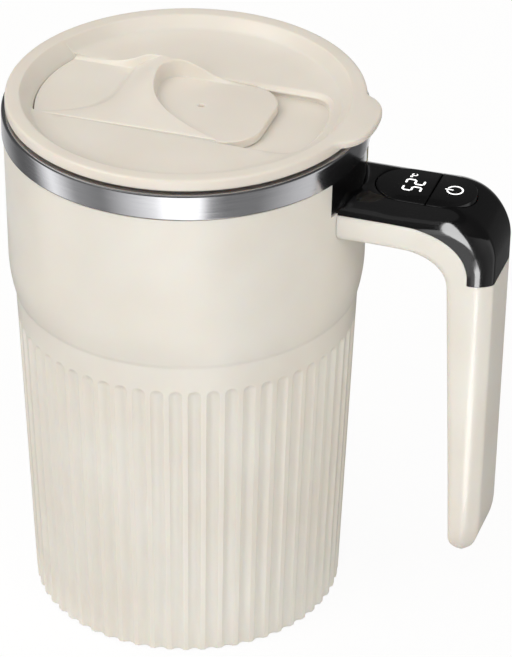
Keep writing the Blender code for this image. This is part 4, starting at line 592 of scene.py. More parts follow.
def cutChannel(piece):
    # The closure's channel with its rails, its wall in the rim, and the soft edge that it slides towards.
    half, basin = channel["half"], lid["basin"]
    trim(piece, prism(channelOutline(half + channel["rail"]),
                      [(channel["floor"], 0.0), (channel["railTop"], 0.0)]))
    trim(piece, prism(channelOutline(half), [
        (channel["cutFrom"], 0.0), (basin - 0.35, 0.0), (basin - 0.12, -0.08), (basin, -0.3),
        (basin + 2.0, -0.3)]))
    endWall = []
    for z, radius in channel["endWall"]:
        lean = math.degrees(math.asin(half / radius))
        outline = arc((0, 0), radius, 180 - lean, 180 + lean, 28)
        outline += [(channel["endWallFrom"], -half), (channel["endWallFrom"], half)]
        endWall.append([(x, y, z) for x, y in outline])
    trim(piece, skin(bmesh.new(), endWall), crease=40)
    softEdge = []
    for z, back in channel["softEdge"]:
        start = channel["softEdgeFrom"] - channel["softEdgeSpread"] * back
        softEdge.append([(max(x, start), y, z) for x, y in insetOutline(channelOutline(half), -back)])
    trim(piece, skin(bmesh.new(), softEdge), crease=40)


def makeLidBody():
    piece = finishPiece("lid_moulding", lidForm(), creamLid, crease=40)
    cutChannel(piece)
    holes = prism(roundedBox(drink["left"], drink["right"], drink["half"], drink["corner"]),
                  [(drink["foot"], 0.0), (drink["top"], 0.0)])
    pegInto(holes, drink["ventRadius"], drink["foot"], drink["top"], (drink["vent"], 0.0))
    trim(piece, holes, crease=40)
    place(piece, "lid", "lid_plastic", "lid_body")


def makeLidSeal():
    # Silicone ring with two soft lips.
    inner, body, lip = lid["groove"] + lid["grooveGap"], lid["sealBody"], lid["sealRadius"]
    low, high = lid["seal"], lid["sealTop"]
    profile = softPath([(inner, low, 0.1), (body - 0.2, low, 0.1), (lip, low + 0.45, 0.2),
                        (body, low + 1.3, 0.2),
                        (body, low + 1.7, 0.2), (lip, low + 2.55, 0.2), (body - 0.2, high, 0.1),
                        (inner, high, 0.1)], 3)
    place(turned("lid_plug_seal", profile, lid["sealSides"], greySilicone), "lid", "silicone", "lid_seal")


slider = {
    "left": 37.75, "right": 21.6, "corner": 9.0, "half": 14.95, "foot": 136.5, "floor": 138.6,
    "rear": 4.6, "front": 0.5, "ridgeLeft": 18.2, "leftFlare": 17.5, "leftPower": 6.0, "ridgeRight": 9.8,
    "rightFlare": 24.0, "rightPower": 3.3, "scoopCorner": 4.6, "wallInner": 13.6, "fall": 1.1, "edge": 0.35,
    # share of the way across the ridge, and how high it is there
    "crest": ((0.0, 0.0), (0.012, 0.14), (0.03, 0.18), (0.25, 0.45), (0.5, 0.76), (0.72, 0.95), (0.84, 1.0),
              (1.0, 1.0)),
    # place along the closure and height of the wall behind it
    "wall": ((-38.0, 0.4), (-30.0, 0.65), (-26.5, 0.85), (-22.6, 1.4), (-18.7, 2.75), (-15.8, 4.2),
             (-13.0, 4.6),
             (-8.6, 4.6), (-5.2, 4.35), (-1.5, 3.2), (2.8, 1.35), (7.4, 0.35), (11.9, 0.0), (30.0, 0.0)),
    # mesh rows in the rounded edge, and down the scoop's wall, as shares of their width
    "edgeRows": (0.08, 0.3, 0.6), "wallRows": (0.1, 0.25, 0.45, 0.65, 0.85, 1.1),
    # tongues that run in the lid's rails, recess over the seal, and the mark that the gate of the mould left
    "tongue": {"low": (-23.0, -15.95, 136.5), "high": (11.0, 15.95, 137.4)},
    "recess": {"low": (-36.05, -9.45, 136.0), "high": (-24.05, 9.45, 137.5)},
    "gateSpot": (3.6, 1.2),
    "gate": ((0, 137.0), (0.72, 137.0), (0.76, 138.2), (0.84, 138.52), (0.98, 138.62),
             (0.98, 139.4), (0, 139.4)),
}


def sliderEnds(y):
    left = -math.sqrt(slider["left"] ** 2 - y ** 2)
    beyond = max(abs(y) - (slider["half"] - slider["corner"]), 0.0)
    inward = slider["corner"] - math.sqrt(max(slider["corner"] ** 2 - beyond ** 2, 0.0))
    return left, slider["right"] - inward


def sliderRow(share):
    # Points along the closure at a share of the way from its front to its back.
    half, edge, rear, inner = slider["half"], slider["edge"], slider["rear"], slider["wallInner"]
    y = half * (2 * share - 1)
    left, right = sliderEnds(y)
    ridgeFrom = -slider["ridgeLeft"] - slider["leftFlare"] * (1 - share) ** slider["leftPower"]
    ridgeFrom = max(ridgeFrom, left + 0.3)
    ridgeTo = -slider["ridgeRight"] + slider["rightFlare"] * (1 - share) ** slider["rightPower"]
    ridgeTo = min(ridgeTo, right - 0.3)
    corner = slider["scoopCorner"]
    turnX, turnY = ridgeTo + corner, inner - corner
    into = min(max(y - turnY, 0.0), corner)
    scoopFrom = min(turnX - math.sqrt(corner ** 2 - into ** 2), right - 0.3)
    top = between(slider["front"], rear, share)
    spots = [between(left, ridgeFrom, step / 10) for step in range(10)]
    spots += [between(ridgeFrom, scoopFrom, step / 44) for step in range(45)]
    spots += [between(scoopFrom, right, step / 30) for step in range(1, 31)]
    spots += [scoopFrom - slider["fall"] * value for value in slider["wallRows"]]
    for value in slider["edgeRows"]:
        spots += [left + edge * value, right - edge * value]
    row = []
    for x in sorted(max(spot, left) for spot in spots):
        across = (x - ridgeFrom) / (ridgeTo - ridgeFrom)
        outside = ridgeTo - x if y <= turnY else y - inner  # distance from the scoop's outline
        if y > turnY and x < turnX:
            outside = math.hypot(x - turnX, y - turnY) - corner
        outside = smoothStep(outside / slider["fall"])
        behind = smoothTable(slider["wall"], x)
        if across < 1:
            rise = max(top * smoothTable(slider["crest"], max(across, 0.0)) * outside,
                       behind * smoothStep((y - inner) / slider["fall"]))
        else:
            rise = behind * top / rear * outside if y > turnY else 0.0
        nearest = min(x - left, right - x, (1 - share) * 2 * half, share * 2 * half)
        inward = min(max(nearest / edge, 0.0), 1.0)
        drop = edge * (1 - math.sqrt(1 - (1 - inward) ** 2))
        row.append((x, y, slider["floor"] + rise - drop))
    return row


def sliderForm():
    near = slider["edge"] / (2 * slider["half"])
    rim = [near * value for value in slider["edgeRows"]] + [near]
    shares = [0.0, *rim] + [0.03 + 0.9 * step / 70 for step in range(71)]
    shares += [0.936, 0.941, 0.945, 0.948, 0.9505, 0.9525, 0.954, 0.9548]  # close where the wall rises
    shares += [0.957 + 0.003 * step for step in range(10)] + [1 - value for value in rim[::-1]] + [1.0]
    form = bmesh.new()
    grid = [[form.verts.new(point) for point in sliderRow(share)] for share in shares]
    for low, high in zip(grid, grid[1:]):
        for index in range(len(low) - 1):
            form.faces.new((low[index], low[index + 1], high[index + 1], high[index]))
    edge = grid[0] + [row[-1] for row in grid[1:]] + grid[-1][-2::-1] + [row[0] for row in grid[-2:0:-1]]
    foot = [form.verts.new((vert.co.x, vert.co.y, slider["foot"])) for vert in edge]
    for index in range(len(edge)):
        after = (index + 1) % len(edge)
        form.faces.new((foot[index], foot[after], edge[after], edge[index]))
    form.faces.new(foot)
    return form


def makeSlider():
    piece = finishPiece("lid_sliding_closure", sliderForm(), creamLid, crease=75)
    trim(piece, block(**slider["tongue"]), "UNION", crease=75)
    trim(piece, lathe(bmesh.new(), slider["gate"], 24, slider["gateSpot"]), crease=75)
    trim(piece, block(**slider["recess"]), crease=75)
    place(piece, "slider", "lid_plastic", "lid_slider")


makeLidBody()
makeLidSeal()
makeSlider()
print("lid, seal and slider made")


# Handle

handle = {
    "armTop": 126.8, "armFoot": 115.4, "reach": 82.5, "root": 40.8, "rootInside": 48.2, "wall": 1.6,
    # the corner's outer and inner arcs, as (x, z) and a radius
    "outerCentre": (69.1, 113.4), "outerRadius": 13.4, "innerCentre": (59.2, 103.9), "innerRadius": 11.5,
    "tipOuter": 81.2, "tipInner": 73.4, "tipRadius": 3.9, "tipX": 77.3, "tipZ": 31.363, "tipOuterZ": 37.0,
    "tipDrop": 10.35, "tipAngle": 66.0, "tipSide": 2.4,
    # (on the arm, on the grip): half width, half of the flat face, depth of the slope beside it, and the
    # roundings between face and slope, between slope and side, and at the inner side
    "half": (13.3, 10.0), "flat": (8.5, 7.5), "slope": (4.0, 4.0), "edge": (2.7, 0.9), "ridge": (2.8, 3.2),
    "foot": (2.2, 2.4), "cornerEase": 1.3,
    # cylinder of the cup's body that the root is cut to
    "bodyFoot": 100.0, "bodyRadius": (45.29, 45.62), "collar": 45.0, "bodyTop": 142.0,
    # line where black meets cream
    "splitTop": 122.4, "splitX": 62.0, "splitZ": 108.2, "splitEnd": 106.8, "splitRadius": 14.2, "seam": 0.1,
}
root = {"inner": 43.77, "outer": 45.07, "half": 15.0, "foot": 123.1, "top": 132.0}
panel = {"left": 49.6, "right": 75.4, "half": 8.2, "split": 64.4, "gap": 0.3, "inset": 0.2, "foot": 123.6,
         "plateFoot": 124.5, "corner": 0.25}
# openings for the plug in the grip's tip, then the plug's flange and tongue, each as roundedBox takes it
port = {"pocket": (75.8, 79.4, 5.9, 1.4), "opening": (76.0, 79.2, 4.7, 1.5),
        "flange": (76.1, 79.1, 5.6, 1.3, 6),
        "tongue": (76.9, 78.3, 3.3, 0.5, 4), "pocketFoot": 27.0, "pocketTop": 29.2, "openingFoot": 28.0,
        "openingTop": 34.0, "flangeFoot": 27.8, "flangeTop": 28.9, "tongueFoot": 28.4, "tongueTop": 35.8}


def handleStations(wall):
    # Each is (outer point, inner point, direction of depth, share of the way round the corner, how far the
    # tip is open).
    stations = []
    centres = (handle["outerCentre"], handle["innerCentre"])
    radii = (handle["outerRadius"], handle["innerRadius"])
    start = handle["rootInside"] if wall else handle["root"]
    for step in range(6):
        x = between(start, handle["innerCentre"][0], step / 6)
        stations.append(((x, handle["armTop"]), (x, handle["armFoot"]), (0, 1), 0.0, 1.0))
    for step in range(57):
        share = step / 56
        angle = math.radians(90 * (1 - share))
        outer, inner = [polar(radius, angle, 0.0, centre)[:2] for centre, radius in zip(centres, radii)]
        stations.append((outer, inner, (math.cos(angle), math.sin(angle)), share, 1.0))
    outerEnd = handle["tipZ"] if wall else handle["tipOuterZ"]
    for step in range(1, 9):
        share = step / 8
        outer = (between(handle["reach"], handle["tipOuter"], share), between(centres[0][1], outerEnd, share))
        inner = (between(centres[1][0] + radii[1], handle["tipInner"], share),
                 between(centres[1][1], handle["tipZ"], share))
        stations.append((outer, inner, (1, 0), 1.0, 1.0))
    for step in range(1, 1 if wall else 11):
        angle = math.radians(handle["tipAngle"] * step / 10)
        reach = handle["tipRadius"] * math.cos(angle)
        outer = (handle["tipX"] + reach, handle["tipOuterZ"] - handle["tipDrop"] * math.sin(angle))
        inner = (handle["tipX"] - reach, handle["tipZ"] - handle["tipRadius"] * math.sin(angle))
        stations.append((outer, inner, (1, 0), 1.0, math.cos(angle)))
    return stations


def handleSection(station, wall):
    # Flat outer face, sloped shoulders, upright sides and a rounded inner side.
    outer, inner, normal, around, close = station
    outer, inner, normal = Vector(outer), Vector(inner), Vector(normal)
    morph = smoothStep(around)
    half, flat, slope, edge, ridge, foot = [between(*handle[name], morph)
                                            for name in ("half", "flat", "slope", "edge", "ridge", "foot")]
    slope = (slope - handle["cornerEase"] * 4 * morph * (1 - morph)) * close
    half -= handle["tipSide"] * (1 - close)
    flat -= handle["tipSide"] * (1 - close) * flat / half
    if wall:
        tilt = math.atan2(slope, half - flat)
        outer = outer - normal * wall
        inner = inner + normal * wall
        slope += wall * math.tan((math.pi / 2 - tilt) / 2) - wall
        half, flat = half - wall, flat - wall * math.tan(tilt / 2)
    depth = (outer - inner).length
    run = math.hypot(half - flat, slope)
    edge, foot = min(edge * close, run * 0.48), min(foot * close, (depth - slope) / 3)
    ridge = min(ridge * close, (depth - slope) / 3, run * 0.97 - edge)
    alongY, alongDepth = (half - flat) / run, slope / run
    high, low = (flat + alongY * edge, alongDepth * edge), (half - alongY * ridge, slope - alongDepth * ridge)
    side = bend((flat - edge, 0.0), (flat, 0.0), high, 7)
    side += [(between(high[0], low[0], step / 4), between(high[1], low[1], step / 4)) for step in (1, 2, 3)]
    side += bend(low, (half, slope), (half, slope + ridge), 10)
    side += bend((half, depth - foot), (half, depth), (half - foot, depth), 7)
    points = []
    for y, deep in side:
        spot = outer + (inner - outer) * (deep / depth)
        points.append((spot[0], y, spot[1]))
    return points + [(x, -y, z) for x, y, z in points[::-1]]


def handleLoft(wall):
    return skin(bmesh.new(), [handleSection(station, wall) for station in handleStations(wall)])


def aboveSplit(shift):
    # Everything above and outside the line where black meets cream.
    curve = arc((handle["splitX"], handle["splitZ"]), handle["splitRadius"] + shift, 90, 0, 30)
    end = handle["splitEnd"] + shift
    outline = [(0.0, curve[0][1])] + curve + [(curve[-1][0], end), (95.0, end), (95.0, 140.0), (0.0, 140.0)]
    return skin(bmesh.new(), [[(x, y, z) for x, z in outline] for y in (-30, 30)])


def makeCover(cover):
    # Black top: its part of the loft, the panel's opening, the root plate and the holes for the leads.
    trim(cover, aboveSplit(handle["seam"] / 2), "INTERSECT")
    top = handle["armTop"]
    stadium = (arc((panel["left"] + panel["half"], 0.0), panel["half"], 90, 270, 36)
               + arc((panel["right"] - panel["half"], 0.0), panel["half"], -90, 90, 36))
    trim(cover, prism(stadium, [(panel["foot"] - 1.0, 0.0), (top - 0.3, 0.0), (top - 0.1, -0.08), (top, -0.3),
                                (top + 1.0, -0.3)]))
    turn = math.degrees(math.asin(root["half"] / root["outer"]))
    outline = arc((0, 0), root["outer"], -turn, turn, 24) + arc((0, 0), root["inner"], turn, -turn, 24)
    trim(cover, upright(outline, root["foot"], root["top"]), "UNION")
    holes = bmesh.new()
    for side in (-1, 1):
        rodAlongX(holes, fixings["leadHole"], 42.0, 50.0, fixings["leadY"] * side, fixings["leadZ"], 12)
    trim(cover, holes)
    place(cover, "cup", "black_plastic", "handle_cover")


def makeGrip(solid):
    # Cream shell: the rest of the loft, screw pillars and bores, and the plug's opening in the tip.
    trim(solid, aboveSplit(-handle["seam"] / 2))
    head, hole, foot = fixings["head"], fixings["hole"], fixings["armFoot"]
    pillars, bores = bmesh.new(), bmesh.new()
    for side in (-1, 1):
        spot = (fixings["armX"], fixings["armY"] * side)
        pegInto(pillars, fixings["pillar"], fixings["pillarFoot"], fixings["pillarTop"], spot, 32)
        lathe(bores, [(0, foot), (head, foot), (head, fixings["headTop"]), (hole, fixings["headTop"]),
                      (hole, fixings["armTop"]), (0, fixings["armTop"])], 32, spot)
        rodAlongX(bores, hole, 44.0, 50.0, fixings["rootY"] * side, fixings["rootZ"])
    prism(roundedBox(*port["pocket"]), [(port["pocketFoot"], 0.0), (port["pocketTop"], 0.0)], bores)
    trim(solid, pillars, "UNION")
    trim(solid, bores)
    trim(solid, prism(roundedBox(*port["opening"]), [(port["openingFoot"], 0.0), (port["openingTop"], 0.0)]))
    place(solid, "cup", "cream_plastic", "handle_shell")


def makeHandle():
    # One loft, hollowed, then split along the seam into the black cover and the cream shell.
    solid = finishPiece("handle_cream_shell", handleLoft(0.0), creamShell)
    low, high = handle["bodyRadius"]
    trim(solid, lathe(bmesh.new(), [
        (0, handle["bodyFoot"]), (low, handle["bodyFoot"]), (high, handle["splitTop"]),
        (handle["collar"], handle["splitTop"]), (handle["collar"], handle["bodyTop"]),
        (0, handle["bodyTop"])], 232))
    trim(solid, handleLoft(handle["wall"]))
    cover = solid.copy()
    cover.data = solid.data.copy()
    cover.name = "handle_black_cover"
    cover.data.materials[0] = glossBlack
    bpy.context.scene.collection.objects.link(cover)
    makeCover(cover)
    makeGrip(solid)


def makePanelPiece(name, outline, look, body, slot, node):
    # Flat plate with a finely rounded edge, set flush in the arm's opening.
    top = handle["armTop"]
    form = prism(outline, [(panel["plateFoot"], 0.0), (top - 0.25, 0.0), (top - 0.13, 0.04),
                           (top - 0.05, 0.12), (top - 0.02, 0.25)])
    place(finishPiece(name, form, look), body, slot, node)


def straightEnd(x, towards, half):
    # The side of a panel piece that faces the gap, between its two long edges.
    corner = panel["corner"]
    return softPath([(x - towards, -half * towards), (x, -half * towards, corner),
                     (x, half * towards, corner), (x - towards, half * towards)], 4, closed=False)


def makePanel():
    half = panel["half"] - panel["inset"]
    window = arc((panel["left"] + panel["half"], 0.0), half, 90, 270, 36)
    window += straightEnd(panel["split"] - panel["gap"] / 2, 1.0, half)
    makePanelPiece("display_smoked_window", window, smokedAcrylic, "cup", "smoked_window", "display_window")
    key = straightEnd(panel["split"] + panel["gap"] / 2, -1.0, half)
    key += arc((panel["right"] - panel["half"], 0.0), half, -90, 90, 36)
    makePanelPiece("power_key", key, keyBlack, "button", "black_plastic", "power_button")


# Lit marks: the reading runs along +Y with its top towards the cup

marks = {
    "height": 4.5, "width": 1.95, "stroke": 0.52, "foot": 126.77, "top": 126.8, "digitX": 56.95, "gap": 0.12,
    "digits": ((-2.65, "5"), (0.68, "2")),
    "degreeSpot": (57.45, 4.05), "degreeRadius": 0.28, "degreeStroke": 0.2, "unitStroke": 0.28,
    "unit": ((57.75, 5.55), (57.45, 5.3), (57.4, 4.95), (57.55, 4.7), (58.3, 4.65), (58.6, 4.85),
             (58.65, 5.25), (58.4, 5.55)),
    "ringSpot": (69.5, 0.85), "ringRadius": 1.92, "ringStroke": 0.42, "ringOpens": (196, 524),
    "bar": ((67.0, 0.66), (69.1, 0.66), (69.1, 1.04), (67.0, 1.04)),
}
segments = {"5": "afgcd", "2": "abged"}


def segmentShapes(digit, start):
    # Bars of one seven-segment digit as outlines in (x, y).
    tall, wide, stroke = marks["height"], marks["width"], marks["stroke"] / 2
    mid = tall / 2
    ends = {"a": ((0, 0), (0, wide)), "g": ((mid, 0), (mid, wide)), "d": ((tall, 0), (tall, wide)),
            "f": ((0, 0), (mid, 0)), "e": ((mid, 0), (tall, 0)), "b": ((0, wide), (mid, wide)),
            "c": ((mid, wide), (tall, wide))}
    shapes = []
    for letter in segments[digit]:
        first, last = [Vector(end) for end in ends[letter]]
        along = (last - first).normalized()
        first, last = first + along * marks["gap"] / 2, last - along * marks["gap"] / 2
        tip, side = along * stroke, Vector((-along.y, along.x)) * stroke
        shape = [first, first + tip + side, last - tip + side, last, last - tip - side, first + tip - side]
        shapes.append([(marks["digitX"] + spot.x, start + spot.y) for spot in shape])
    return shapes


def strokePath(points, width):
    # Outline of a stroke along open points.
    left, right = [], []
    for index, point in enumerate(points):
        before, after = points[max(index - 1, 0)], points[min(index + 1, len(points) - 1)]
        along = (Vector(after) - Vector(before)).normalized()
        left.append((point[0] - along.y * width / 2, point[1] + along.x * width / 2))
        right.append((point[0] + along.y * width / 2, point[1] - along.x * width / 2))
    return left + right[::-1]


def makeMark(name, shapes, body, slot):
    form = bmesh.new()
    for shape in shapes:
        upright(shape, marks["foot"], marks["top"], form)
    piece = place(finishPiece(name, form, litWhite), body, slot)
    piece.visible_glossy = False  # reflections don't show the lit marks


def makeMarks():
    shapes = [shape for start, digit in marks["digits"] for shape in segmentShapes(digit, start)]
    degree = arc(marks["degreeSpot"], marks["degreeRadius"], 0, 350, 16)
    shapes.append(strokePath(degree, marks["degreeStroke"]))
    shapes.append(strokePath(marks["unit"], marks["unitStroke"]))
    makeMark("display_reading", shapes, "cup", "smoked_window")
    ring = arc(marks["ringSpot"], marks["ringRadius"], *marks["ringOpens"], 40)
    ring = strokePath(ring, marks["ringStroke"])
    makeMark("power_symbol", (ring, marks["bar"]), "button", "black_plastic")


def makeChargePlug():
    # Silicone plug: a flange with a rounded edge, and a tongue that goes into the port.
    foot, top = port["flangeFoot"], port["flangeTop"]
    form = prism(roundedBox(*port["flange"]), [(foot, 0.35), (foot + 0.05, 0.15), (foot + 0.2, 0.0),
                                               (top - 0.2, 0.0), (top, 0.2)])
    piece = finishPiece("charge_port_plug", form, creamSilicone)
    trim(piece, prism(roundedBox(*port["tongue"]), [(port["tongueFoot"], 0.0), (port["tongueTop"] - 0.3, 0.0),
                                                    (port["tongueTop"], 0.25)]), "UNION")
    place(piece, "plug", "silicone", "charge_plug")


makeHandle()
makePanel()
makeMarks()
makeChargePlug()
print("handle, window, key and plug made")


# Nodes that keep their own mesh, by the material that they get

carried = (
    (drawnSteel, ("pivot_pin", "motor_shaft")),
    (creamShell, ("base_cover",)),
    (greySilicone, ("base_gasket", "button_pad", "slider_seal")),
    (sinteredBronze, ("temperature_sensor", "motor_bush")),
    (greyNylon, ("motor_mount", "drive_hub", "battery_carrier")),
    (whiteNylon, ("motor_end_cap", "stirrer", "stirrer_cap", "display_module")),
    (ferrite, ("motor_magnet_1", "motor_magnet_2")),
    (woundCopper, ("motor_armature",)),
    (nickelPlate, ("drive_magnet_1", "drive_magnet_2", "stirrer_magnet_1", "stirrer_magnet_2")),
    (platedSteel, ("motor_can", "handle_bracket", "button_switch", "charge_socket",
                   *(name for name in nodes if "_screw_" in name))),
    (boardMask, ("control_board", "charge_board")),
    (cellFilm, ("battery",)),
    (leadSleeve, ("motor_lead", "sensor_lead", "battery_lead")),
)
for look, names in carried:
    for name in names:
        for holder in nodes[name].material_slots:
            holder.material = look
print("materials given to the nodes that stay")


# Studio, in metres

studio = {
    "floorSize": 6.0, "floorDrop": 0.0001, "floorGlow": 0.93, "ambient": 0.43, "ambientColour": "fff8ee",
    # (name, place, aim, size across and up, watts, colour, whether reflections show it)
    "softboxes": (
        ("left_softbox", (-0.66, -0.94, 0.92), (0.0, 0.0, 0.08), (0.8, 0.8), 6.4, "fffdf9", True),
        ("right_softbox", (0.98, -0.60, 0.92), (0.0, 0.0, 0.08), (0.8, 0.8), 4.5, "fffdf9", True),
        ("front_softbox", (0.23, -0.98, 1.12), (0.0, 0.0, 0.12), (0.35, 0.25), 1.7, "f8fbff", True),
        ("top_softbox", (-0.55, -0.05, 1.10), (0.0, 0.0, 0.1), (0.7, 0.7), 2.5, "fffefb", False),
        ("rear_softbox", (-0.3, 1.1, 1.1), (0.0, 0.0, 0.08), (0.9, 0.9), 1.5, "fffefb", False),
    ),
    # oval lamps, each seen in one piece's reflections: (name, place, aim, size across and up, watts, piece).
    # The one with no aim faces straight up, and stripTurn is its turn in degrees.
    "strips": (
        ("tall_strip", (0.1207, -0.142, 0.19), (0.076, -0.012, 0.19), (0.074, 0.46), 1.1,
         "handle_black_cover"),
        ("foot_strip", (0.1245, -0.1430, 0.012), (0.079, -0.010, 0.012), (0.040, 0.020), 0.032,
         "handle_cream_shell"),
        ("grip_strip", (0.1099, -0.1005, 0.002), None, (0.048, 0.090), 0.085, "handle_cream_shell"),
    ),
    "stripTurn": 19.0,
}
# Cards round the cup that only reflections see: direction in degrees from +X, and how bright the card is
# there. The first three stand on each other as rings, and tops are their upper edges. The last lies flat.
cards = {
    "radius": 0.20, "foot": 0.0005, "tops": (0.13, 0.32, 0.50), "groundInner": 0.046, "groundGap": 0.0005,
    "groundHeight": 0.0003, "sides": 180,
    "studio_reflector": (
        (-180, 0.16), (-168, 0.22), (-153, 1.55), (-136, 0.45), (-118, 0.3), (-102, 0.9), (-88, 1.4),
        (-82, 2.1), (-64, 2.1), (-58, 0.5), (-50, 0.28), (-30, 0.3), (-8, 0.78), (6, 0.95), (16, 0.13),
        (56, 0.13), (62, 0.3), (69, 0.35), (77, 1.0), (120, 0.8), (150, 0.5), (172, 0.18), (180, 0.16)),
    "studio_darkening": ((-180, 0.1), (180, 0.1)),
    "studio_side": ((-180, 0.8), (-140, 0.45), (-56, 0.45), (-48, 0.06), (126, 0.06), (145, 0.8), (180, 0.8)),
    "studio_ground_card": (
        (-180, 0.15), (-100, 0.2), (-84, 0.3), (-77, 0.35), (-71, 1.4), (-52, 1.4), (-44, 0.5), (-36, 0.12),
        (150, 0.12), (180, 0.15)),
}
flagSheet = {
    # (y, z) in millimetres along its sweep, and x across it
    "sweep": ((620, 150), (620, 420), (590, 640), (500, 820), (330, 930), (100, 970),
              (-150, 950), (-330, 880)),
    "across": (-600, -200, 200, 600), "skew": (0.34, 0.1),
    # brightness at its foot and at its top
    "glow": (0.07, 0.25), "glowFrom": 0.60, "glowTo": 0.97,
}
photoCamera = {"lens": 220.96, "sensor": 36.0, "shiftX": 0.070, "clipStart": 0.05,
               "place": (0.2918, -0.8294, 0.6196), "aim": (0.0056, 0.0019, 0.0734)}


def lightPathMix(tree, seen, unseen, output):
    # Chooses one shader for the named kind of ray and another for the rest.
    path = addNode(tree, "ShaderNodeLightPath")
    return addNode(tree, "ShaderNodeMixShader", {}, {0: (path, output), 1: (unseen, 0), 2: (seen, 0)})


def makeFloor():
    # Matt paper that the camera sees as near white with the cup's shadow kept.
    half = studio["floorSize"] / 2 / mm
    form = bmesh.new()
    form.faces.new([form.verts.new(spot) for spot in ((-half, -half, 0), (half, -half, 0), (half, half, 0),
                                                      (-half, half, 0))])
    look, tree, shader, spots = startLook("paper_sweep_white", {
        "Roughness": 0.9, "Specular IOR Level": 0.2, "Base Color": hexColour("f5f5f5")})
    fibre = addNode(tree, "ShaderNodeTexNoise", {"Scale": 900.0}, {"Vector": (spots, "Object")})
    bump = addNode(tree, "ShaderNodeBump", {"Strength": 0.05, "Distance": 0.0001}, {"Height": (fibre, "Fac")})
    tree.links.new(bump.outputs["Normal"], shader.inputs["Normal"])
    glow = addNode(tree, "ShaderNodeEmission", {"Color": (1, 1, 1, 1), "Strength": 1.0})
    shade = addNode(tree, "ShaderNodeBsdfDiffuse", {"Color": (1, 1, 1, 1)})
    seen = addNode(tree, "ShaderNodeMixShader", {0: studio["floorGlow"]}, {1: (shade, 0), 2: (glow, 0)})
    showSurface(tree, lightPathMix(tree, seen, shader, "Is Camera Ray"))
    floor = finishPiece("studio_floor", form, look)
    floor.location.z = -studio["floorDrop"]


def onlyReflected(card):
    card.visible_camera = False
    card.visible_diffuse = False
    card.visible_shadow = False


def makeCard(name, form):
    look, tree, shader, spots = startLook(name + "_paper", {})
    split = addNode(tree, "ShaderNodeSeparateXYZ", {}, {0: (spots, "Object")})
    turn = addNode(tree, "ShaderNodeMath", {"operation": "ARCTAN2"}, {0: (split, "Y"), 1: (split, "X")})
    share = addNode(tree, "ShaderNodeMapRange", {"From Min": -math.pi, "From Max": math.pi},
                    {"Value": (turn, 0)})
    shades = [((degrees + 180) / 360, (level, level, level, 1.0)) for degrees, level in cards[name]]
    ramp = addNode(tree, "ShaderNodeValToRGB", {"stops": shades}, {"Fac": (share, "Result")})
    showSurface(tree, addNode(tree, "ShaderNodeEmission", {"Strength": 1.0}, {"Color": (ramp, "Color")}))
    card = finishPiece(name, form, look)
    onlyReflected(card)


def makeCards():
    # Rings of pale and dark paper for the steel and the black gloss, and a card for what faces down.
    radius, foot, sides = cards["radius"] / mm, cards["foot"] / mm, cards["sides"]
    for name, top in zip(("studio_reflector", "studio_darkening", "studio_side"), cards["tops"]):
        ring = skin(bmesh.new(), [ringAt(radius, z, sides) for z in (foot, top / mm)], closeEnds=False)
        makeCard(name, ring)
        foot = top / mm
    reaches = (cards["groundInner"] / mm, radius - cards["groundGap"] / mm)
    height = cards["groundHeight"] / mm
    ground = skin(bmesh.new(), [ringAt(reach, height, sides) for reach in reaches], closeEnds=False)
    makeCard("studio_ground_card", ground)


def makeFlag():
    # Dark cloth behind and over the cup, seen only by reflections, that keeps the arm's black top black.
    form = bmesh.new()
    skewX, skewY = flagSheet["skew"]
    rows = [[form.verts.new((x - y * skewX, y + x * skewY, z)) for x in flagSheet["across"]]
            for y, z in flagSheet["sweep"]]
    for low, high in zip(rows, rows[1:]):
        for index in range(len(low) - 1):
            form.faces.new((low[index], low[index + 1], high[index + 1], high[index]))
    look, tree, shader, spots = startLook("black_flag_cloth", {})
    split = addNode(tree, "ShaderNodeSeparateXYZ", {}, {0: (spots, "Object")})
    low, high = flagSheet["glow"]
    level = addNode(tree, "ShaderNodeMapRange",
                    {"From Min": flagSheet["glowFrom"], "From Max": flagSheet["glowTo"], "To Min": low,
                     "To Max": high},
                    {"Value": (split, "Z")})
    showSurface(tree, addNode(tree, "ShaderNodeEmission", {}, {"Strength": (level, "Result")}))
    flag = finishPiece("studio_flag", form, look)
    onlyReflected(flag)


def aimed(spot, aim):
    # Rotation that turns a lamp or a camera from its place towards its aim.
    return (Vector(aim) - Vector(spot)).to_track_quat("-Z", "Y").to_euler()


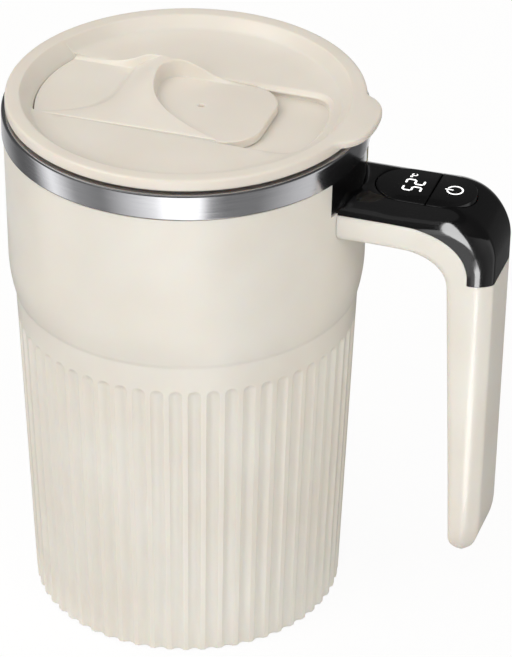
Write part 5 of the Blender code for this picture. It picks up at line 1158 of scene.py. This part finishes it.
def makeLamp(name, spot, aim, size, watts, shape):
    light = bpy.data.lights.new(name, "AREA")
    light.shape = shape
    light.size, light.size_y = size
    light.energy = watts
    lamp = bpy.data.objects.new(name, light)
    lamp.location = spot
    lamp.rotation_euler = aimed(spot, aim) if aim else (math.pi, 0, math.radians(studio["stripTurn"]))
    lamp.visible_camera = False
    bpy.context.scene.collection.objects.link(lamp)
    return lamp


def makeLamps():
    for name, spot, aim, size, watts, colour, glossy in studio["softboxes"]:
        lamp = makeLamp(name, spot, aim, size, watts, "RECTANGLE")
        lamp.data.color = hexColour(colour)[:3]
        lamp.visible_glossy = glossy
    for name, spot, aim, size, watts, pieceName in studio["strips"]:
        lamp = makeLamp(name, spot, aim, size, watts, "ELLIPSE")
        lamp.visible_diffuse = False
        lit = bpy.data.collections.new(name + "_lights")
        lit.objects.link(bpy.data.objects[pieceName])
        lamp.light_linking.receiver_collection = lit


def makeAir():
    # Soft light from all round, which the camera, reflections and glass see as white.
    world = bpy.data.worlds.new("studio_air")
    world.use_nodes = True
    tree = world.node_tree
    mix = addNode(tree, "ShaderNodeBackground",
                  {"Color": hexColour(studio["ambientColour"]), "Strength": studio["ambient"]})
    white = addNode(tree, "ShaderNodeBackground", {"Color": (1, 1, 1, 1), "Strength": 1.0})
    for kind in ("Is Camera Ray", "Is Glossy Ray", "Is Transmission Ray"):
        mix = lightPathMix(tree, white, mix, kind)
    tree.links.new(mix.outputs[0], tree.nodes["World Output"].inputs["Surface"])
    bpy.context.scene.world = world


def makeCamera():
    camera = bpy.data.cameras.new("photo_camera")
    camera.lens = photoCamera["lens"]
    camera.sensor_width = photoCamera["sensor"]
    camera.sensor_fit = "AUTO"
    camera.shift_x = photoCamera["shiftX"]
    camera.clip_start = photoCamera["clipStart"]
    stand = bpy.data.objects.new("photo_camera", camera)
    stand.location = photoCamera["place"]
    stand.rotation_euler = aimed(photoCamera["place"], photoCamera["aim"])
    bpy.context.scene.collection.objects.link(stand)
    bpy.context.scene.camera = stand
    bpy.context.scene.view_settings.view_transform = "Standard"


makeFloor()
makeCards()
makeFlag()
makeLamps()
makeAir()
makeCamera()
print("studio made")
